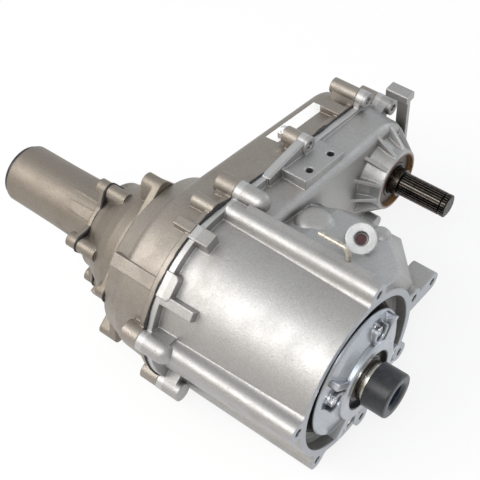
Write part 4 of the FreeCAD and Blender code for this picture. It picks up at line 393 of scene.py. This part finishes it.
def gasket_edge(node, middle, steps):
    """The outer edge of a flat gasket, seen from its middle, as points and outward directions."""
    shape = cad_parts[node]
    corners = [shape.matrix_world @ vertex.co for vertex in shape.data.vertices]
    y = (min(corner.y for corner in corners) + max(corner.y for corner in corners)) / 2
    skin = BVHTree.FromPolygons(corners, [tuple(face.vertices) for face in shape.data.polygons])
    path = []
    for k in range(steps):
        a = 2 * math.pi * k / steps
        out = Vector((math.cos(a), 0, math.sin(a)))
        hit, normal = skin.ray_cast(Vector((middle, y, 0)) + out, -out)[:2]
        path.append((Vector((hit.x, 0, hit.z)), Vector((normal.x, 0, normal.z)).normalized()))
    return path


squeezed_bead("case_joint_bead", gasket_edge("case_sealant", middle=0.10, steps=420), y=0.202,
              thin=0.0010, thick=0.0024, seed=3.0,
              drops=[(0.005, 0.0, 0.119, 0.016), (0.018, 0.0, 0.118, 0.016), (-0.108, 0.0, 0.05, 0.02)])
squeezed_bead("rear_retainer_bead", gasket_edge("rear_retainer_sealant", middle=0.0, steps=260), y=0.278,
              thin=0.0012, thick=0.0026, seed=11.0,
              drops=[(-0.06, 0.0, 0.065, 0.03), (-0.075, 0.0, 0.04, 0.02)])
squeezed_bead("tail_housing_bead", gasket_edge("extension_sealant", middle=0.0, steps=200), y=0.350,
              thin=0.0011, thick=0.0022, seed=23.0, drops=[(-0.03, 0.0, 0.05, 0.02)])


# Rear bearing retainer and tail housing: two more aluminium castings bolted on behind the
# case. The dome carries the rear bearing; the long tube covers the output shaft.

tail_cast, tree, surface, skin, colour = cast_aluminium(
    "tail castings", base=(0.31, 0.275, 0.235), stain=(0.22, 0.185, 0.15), stain_amount=0.7,
    gloss_low=0.48, gloss_high=0.60, edge=(0.44, 0.40, 0.35))
coat(tree, surface, colour, skin.outputs["Roughness"], skin.outputs["Normal"])
dress(tail_cast, "rear_bearing_retainer", "extension_housing")


# Input bearing retainer: an aluminium ring held by four bolts in the mouth of the snout. Its
# nose carries the input seal. The skin is finer and cooler than the case's.

retainer_cast, tree, surface, skin, colour = cast_aluminium(
    "retainer satin aluminium", base=(0.52, 0.55, 0.59), stain=(0.36, 0.38, 0.40), stain_amount=0.4,
    gloss_low=0.32, gloss_high=0.42, edge=(0.66, 0.68, 0.71), corner=0.6, depth=0.15)
# Painted shadow: the retainer's outer wall, down in the flange's mouth, is darkened nearly to black.
gap = shaft_zone(tree, radius=(0.0780, 0.0786), back=(0.0035, 0.0050))
colour = blend_colour(tree, gap, colour, gap_shadow_black)
coat(tree, surface, colour, skin.outputs["Roughness"], skin.outputs["Normal"])
dress(retainer_cast, "input_bearing_retainer")


# Bolts and plugs: zinc-plated steel with flanged hexagon heads. The ones of the case joint go
# in from behind, the tail housing's are socket heads sunk in their bosses.

def film_colour(tree, film, first, second, edge=(0.3, 0.7)):
    """The colour of a thin uneven film, which goes from first to second over the film's mask."""
    return blend_colour(tree, spread(tree, film, *edge), first, second)


crevice_shade_black, crevice_share = (0.05, 0.045, 0.04), 0.8
bright_zinc, tree, surface = new_material("bright zinc plate", metal=1.0, gloss=0.2)
rim = place_group(tree, rounded_edge, Radius=0.0007)
film = speckle(tree, scale=130.0, detail=3.0)
colour = film_colour(tree, film, (0.60, 0.60, 0.61), (0.80, 0.80, 0.82))
# The bolts' crevices are darkened here: painted shade.
shade = place_group(tree, corner_shade, Reach=0.006)
crevice = math_step(tree, "MULTIPLY", shade.outputs["Shade"], crevice_share)
colour = blend_colour(tree, crevice, colour, crevice_shade_black)
gloss = spread(tree, film, 0.2, 0.8, to_low=0.14, to_high=0.30)
coat(tree, surface, colour, gloss, rim.outputs["Normal"])
dress(bright_zinc, "retainer_bolts", "case_bolts", "case_plugs", "rear_retainer_bolts")

browned_screws, tree, surface = new_material("browned socket screws", metal=0.8, gloss=0.5)
film = speckle(tree, scale=300.0, detail=4.0)
colour = film_colour(tree, film, (0.16, 0.10, 0.07), (0.34, 0.29, 0.25), edge=(0.35, 0.65))
coat(tree, surface, colour)
dress(browned_screws, "extension_bolts")


# Input shaft: hardened steel, ground where the seal and the bearing run, with a splined
# socket for the gearbox's shaft. The sun gear is cut on its inner end.

ring_stretch = (1.0, 90.0, 1.0)
ground_steel, tree, surface = new_material("ground shaft steel", metal=1.0, gloss=0.12)
stretch = tree.nodes.new("ShaderNodeMapping")
stretch.inputs["Scale"].default_value = ring_stretch
tree.links.new(tree.nodes.new("ShaderNodeTexCoord").outputs["Object"], stretch.inputs["Vector"])
rings = speckle(tree, scale=22.0, detail=3.0, place=stretch.outputs["Vector"])
colour = film_colour(tree, rings, (0.80, 0.73, 0.62), (0.93, 0.88, 0.79))
coat(tree, surface, colour, spread(tree, rings, 0.3, 0.7, to_low=0.18, to_high=0.30))
dress(ground_steel, "input_shaft", "planet_pins", "shift_rail", "sector_shaft")


# Shipping cap: a soft charcoal plastic cap pushed over the shaft end to keep dirt out. It is
# one moulding with a skirt outside and a blind cup inside, and pulls off by hand.

end_grey, end_share, cup_blue = (0.075, 0.08, 0.09), 0.75, (0.014, 0.022, 0.045)
cap_end, cap_shoulder = -0.0496, -0.0485
cap_plastic, tree, surface = new_material("charcoal cap plastic", metal=0.0, gloss=0.38)
surface.inputs["Specular IOR Level"].default_value = 0.45
rim = place_group(tree, rounded_edge, Radius=0.0009)
cup = shaft_zone(tree, radius=(0.0152, 0.0146), back=(cap_shoulder, -0.047))
end_ring = math_step(tree, "MULTIPLY", spread(tree, distance_back(tree), cap_shoulder, cap_end), end_share)
scuffs = speckle(tree, scale=170.0, detail=4.0, roughness=0.7)
colour = film_colour(tree, scuffs, (0.017, 0.018, 0.021), (0.034, 0.036, 0.041), edge=(0.35, 0.75))
colour = blend_colour(tree, end_ring, colour, end_grey)
colour = blend_colour(tree, cup, colour, cup_blue)
gloss = spread(tree, scuffs, 0.3, 0.7, to_low=0.32, to_high=0.46)
coat(tree, surface, colour, gloss, rim.outputs["Normal"])
dress(cap_plastic, "shipping_cap")


# Shaft seals: a pressed steel ring with a moulded rubber lip, pushed into its bore. The front
# output's ring is red-brown with an amber, oiled inside; the others are plain black. The
# tail seal also has a dust lip round its outer edge.

output_x = 0.2655
lip_black, lip_brown, oiled_amber = (0.010, 0.009, 0.009), (0.045, 0.025, 0.013), (0.20, 0.105, 0.030)
ring_red, oil_brown = (0.17, 0.040, 0.026), (0.02, 0.012, 0.010)
output_seal, tree, surface = new_material("oiled output seal", metal=0.0, gloss=0.32)
radius = distance_from(tree, output_x)
colour = lip_black
for start, full, tone in ((0.0205, 0.0235, lip_brown), (0.0335, 0.0350, oiled_amber),
                          (0.0355, 0.0358, ring_red)):
    colour = blend_colour(tree, spread(tree, radius, start, full), colour, tone)
colour = film_colour(tree, speckle(tree, scale=160.0, detail=3.0), colour, oil_brown, edge=(0.55, 0.8))
coat(tree, surface, colour)
dress(output_seal, "front_output_seal")

black_rubber = new_material("black seal rubber", metal=0.0, gloss=0.36, colour=(0.016, 0.016, 0.017))[0]
dress(black_rubber, "input_shaft_seal", "tail_seal")


def turned_ring(name, profile, steps, material):
    """A ring turned about the main shaft line, from a closed row of (radius, y) pairs."""
    points = []
    faces = []
    corners = len(profile)
    for i in range(steps):
        a = 2 * math.pi * i / steps
        points += [(r * math.cos(a), y, r * math.sin(a)) for r, y in profile]
        for k in range(corners):
            m, n = (i + 1) % steps * corners, (k + 1) % corners
            faces.append((i * corners + k, m + k, m + n, i * corners + n))
    return new_piece(name, points, faces, material)


lip_profile = [(0.0352, 0.5078), (0.0362, 0.5100), (0.0354, 0.5128), (0.0338, 0.5131), (0.0325, 0.5078)]
dust_lip = turned_ring("tail_dust_lip", lip_profile, 96, black_rubber)
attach(dust_lip, "case")


# Front output shaft and mainshaft: induction-hardened steel, nearly black with oil. The
# rubbed crests of the splines show brown-silver metal.

root_black, crest_brown = (0.016, 0.014, 0.013), (0.13, 0.115, 0.10)
spline_root, spline_crest = 0.0144, 0.0149
oiled_shaft, tree, surface = new_material("oiled splined steel", metal=1.0, gloss=0.3)
crest = spread(tree, distance_from(tree, output_x), spline_root, spline_crest)
film = speckle(tree, scale=210.0, detail=4.0, roughness=0.7)
crest = math_step(tree, "MULTIPLY", crest, spread(tree, film, 0.35, 0.6, to_low=0.45, to_high=1.0))
colour = blend_colour(tree, crest, root_black, crest_brown)
coat(tree, surface, colour, spread(tree, film, 0.2, 0.8, to_low=0.20, to_high=0.42))
dress(oiled_shaft, "front_output_shaft")

core_steel, tree, surface = new_material("oiled mainshaft steel", metal=1.0, gloss=0.28)
film = speckle(tree, scale=120.0, detail=4.0)
colour = film_colour(tree, film, (0.10, 0.095, 0.09), (0.26, 0.25, 0.24))
coat(tree, surface, colour)
dress(core_steel, "mainshaft")


# Indicator port, vent and label: the port shows the red end of its detent plug, the vent is a
# bent zinc-plated pipe pressed into the case, and the label is a blank white film.

port_red, tree, surface = new_material("red detent plug", metal=0.0, gloss=0.4)
surface.inputs["Specular IOR Level"].default_value = 0.25
film = speckle(tree, scale=260.0, detail=3.0)
colour = film_colour(tree, film, (0.11, 0.007, 0.011), (0.030, 0.006, 0.009), edge=(0.4, 0.65))
coat(tree, surface, colour)
dress(port_red, "port_plug")

vent_zinc, tree, surface = new_material("dull zinc pipe", metal=1.0, gloss=0.45)
film = speckle(tree, scale=260.0, detail=3.0)
colour = film_colour(tree, film, (0.40, 0.37, 0.32), (0.58, 0.55, 0.49))
coat(tree, surface, colour)
dress(vent_zinc, "vent_tube")

label_film, tree, surface = new_material("blank label film", metal=0.0, gloss=0.42)
film = speckle(tree, scale=60.0, detail=3.0)
colour = film_colour(tree, film, (0.86, 0.86, 0.85), (0.80, 0.795, 0.78), edge=(0.45, 0.75))
coat(tree, surface, colour)
dress(label_film, "blank_label")


# Gears, forks and chain: hobbed and hardened steel, dark with oil, bright on the teeth. They
# run on the shafts inside the case and are seen only when the case is taken apart.

gear_steel, tree, surface = new_material("oiled gear steel", metal=1.0, gloss=0.3)
rim = place_group(tree, rounded_edge, Radius=0.0006)
film = speckle(tree, scale=90.0, detail=4.0)
colour = film_colour(tree, film, (0.26, 0.25, 0.235), (0.40, 0.39, 0.375))
colour = blend_colour(tree, rim.outputs["Edge"], colour, (0.62, 0.61, 0.60))
coat(tree, surface, colour, normal=rim.outputs["Normal"])
dress(gear_steel, "annulus_gear", "planet_carrier", "drive_sprocket", "driven_sprocket", "drive_chain",
      "range_collar", "mode_sleeve", "range_fork", "mode_fork", "shift_sector", "tone_wheel", "snap_rings",
      *["planet_gear_%d" % k for k in range(1, 7)])


# Bearings, bushing and pump: polished bearing steel, a bronze-lined bushing for the slip
# yoke, a machined aluminium oil pump and its pressed-steel pickup.

bearing_steel = new_material("polished bearing steel", metal=1.0, gloss=0.12, colour=(0.66, 0.66, 0.67))[0]
dress(bearing_steel, "output_tail_bearing", "needle_bearings",
      *[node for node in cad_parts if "bearing_" in node and ("race" in node or "rollers" in node)])

bushing_bronze = new_material("bored bronze", metal=1.0, gloss=0.28, colour=(0.50, 0.34, 0.17))[0]
dress(bushing_bronze, "extension_bushing")

pump_aluminium = new_material("machined pump aluminium", metal=1.0, gloss=0.34, colour=(0.60, 0.59, 0.57))[0]
dress(pump_aluminium, "oil_pump", "pump_rotor")

pressed_steel = new_material("pressed pickup steel", metal=1.0, gloss=0.4, colour=(0.36, 0.36, 0.36))[0]
dress(pressed_steel, "oil_pickup", "magnet")


# Studio: a pale paper sweep, three soft lamps and the camera at the photograph's angle. The
# paper and the world look white to the camera, and light the case only softly.

half_paper, paper_drop, paper_glow = 4, 0.0005, 0.8
paper, tree, surface = new_material("white paper", metal=0.0, gloss=0.9, colour=(0.86, 0.86, 0.86))
surface.inputs["Specular IOR Level"].default_value = 0.1
glow = tree.nodes.new("ShaderNodeEmission")
path = tree.nodes.new("ShaderNodeLightPath")
seen = math_step(tree, "ADD", path.outputs["Is Camera Ray"], path.outputs["Is Glossy Ray"])
seen = math_step(tree, "ADD", seen, path.outputs["Is Transmission Ray"], clamp=True)
mixed = tree.nodes.new("ShaderNodeMixShader")
tree.links.new(math_step(tree, "MULTIPLY", seen, paper_glow), mixed.inputs[0])
tree.links.new(surface.outputs[0], mixed.inputs[1])
tree.links.new(glow.outputs[0], mixed.inputs[2])
tree.links.new(mixed.outputs[0], tree.nodes["Material Output"].inputs["Surface"])
low = cad_box[0].z - paper_drop
corners = [(x * half_paper, y * half_paper, low) for x, y in ((-1, -1), (1, -1), (1, 1), (-1, 1))]
floor = new_piece("paper_sweep", corners, [(0, 1, 2, 3)], paper, smooth=False)

warm_side, cool_side = (0.56, 0.50, 0.42), (0.72, 0.76, 0.81)
overhead_grey, seen_white = (0.70, 0.70, 0.70), (1.0, 1.0, 1.0)
world = bpy.data.worlds.new("studio")
world.use_nodes = True
bpy.context.scene.world = world
sky = world.node_tree
path = sky.nodes.new("ShaderNodeLightPath")
seen = math_step(sky, "ADD", path.outputs["Is Camera Ray"], path.outputs["Is Transmission Ray"], clamp=True)
direction = sky.nodes.new("ShaderNodeSeparateXYZ")
sky.links.new(sky.nodes.new("ShaderNodeTexCoord").outputs["Generated"], direction.inputs[0])
sides = blend_colour(sky, spread(sky, direction.outputs["X"], -0.7, 0.7), warm_side, cool_side)
dome = blend_colour(sky, spread(sky, direction.outputs["Z"], 0.1, 0.95), sides, overhead_grey)
sky.links.new(blend_colour(sky, seen, dome, seen_white), sky.nodes["Background"].inputs["Color"])


def soft_lamp(name, spot, aim, wide, high, power, colour):
    """A rectangular lamp at a spot, turned towards what it lights."""
    lamp = bpy.data.lights.new(name, "AREA")
    lamp.shape = "RECTANGLE"
    lamp.size = wide
    lamp.size_y = high
    lamp.energy = power
    lamp.color = colour
    stand = bpy.data.objects.new(name, lamp)
    stand.location = spot
    stand.rotation_mode = "QUATERNION"
    stand.rotation_quaternion = (Vector(aim) - Vector(spot)).to_track_quat("-Z", "Y")
    bpy.context.collection.objects.link(stand)


case_middle = (0.08, 0.2, 0.0)
warm_white, cool_white = (1.0, 0.985, 0.96), (0.90, 0.95, 1.0)
soft_lamp("key_lamp", (-1.25, 0.85, 1.5), case_middle, wide=2.0, high=1.0, power=31.0, colour=warm_white)
soft_lamp("camera_lamp", (-0.95, -0.45, 1.85), case_middle, wide=0.7, high=0.6, power=13.0, colour=cool_white)
soft_lamp("side_lamp", (2.0, -0.4, 0.7), case_middle, wide=0.9, high=0.7, power=4.0, colour=cool_white)

lens = bpy.data.cameras.new("photo_camera")
lens.sensor_width = 36.0
lens.lens = 80.2
lens.clip_start = 0.01
camera = bpy.data.objects.new("photo_camera", lens)
right = Vector((0.6182, -0.7849, -0.0397))
up = Vector((0.6166, 0.4532, 0.6439))
back = Vector((-0.4875, -0.4226, 0.7642))
camera.rotation_mode = "QUATERNION"
camera.rotation_quaternion = Matrix((right, up, back)).transposed().to_quaternion()
camera.location = (-0.5533, -0.3230, 0.9814)
bpy.context.collection.objects.link(camera)
bpy.context.scene.camera = camera
bpy.context.scene.view_settings.view_transform = "Standard"
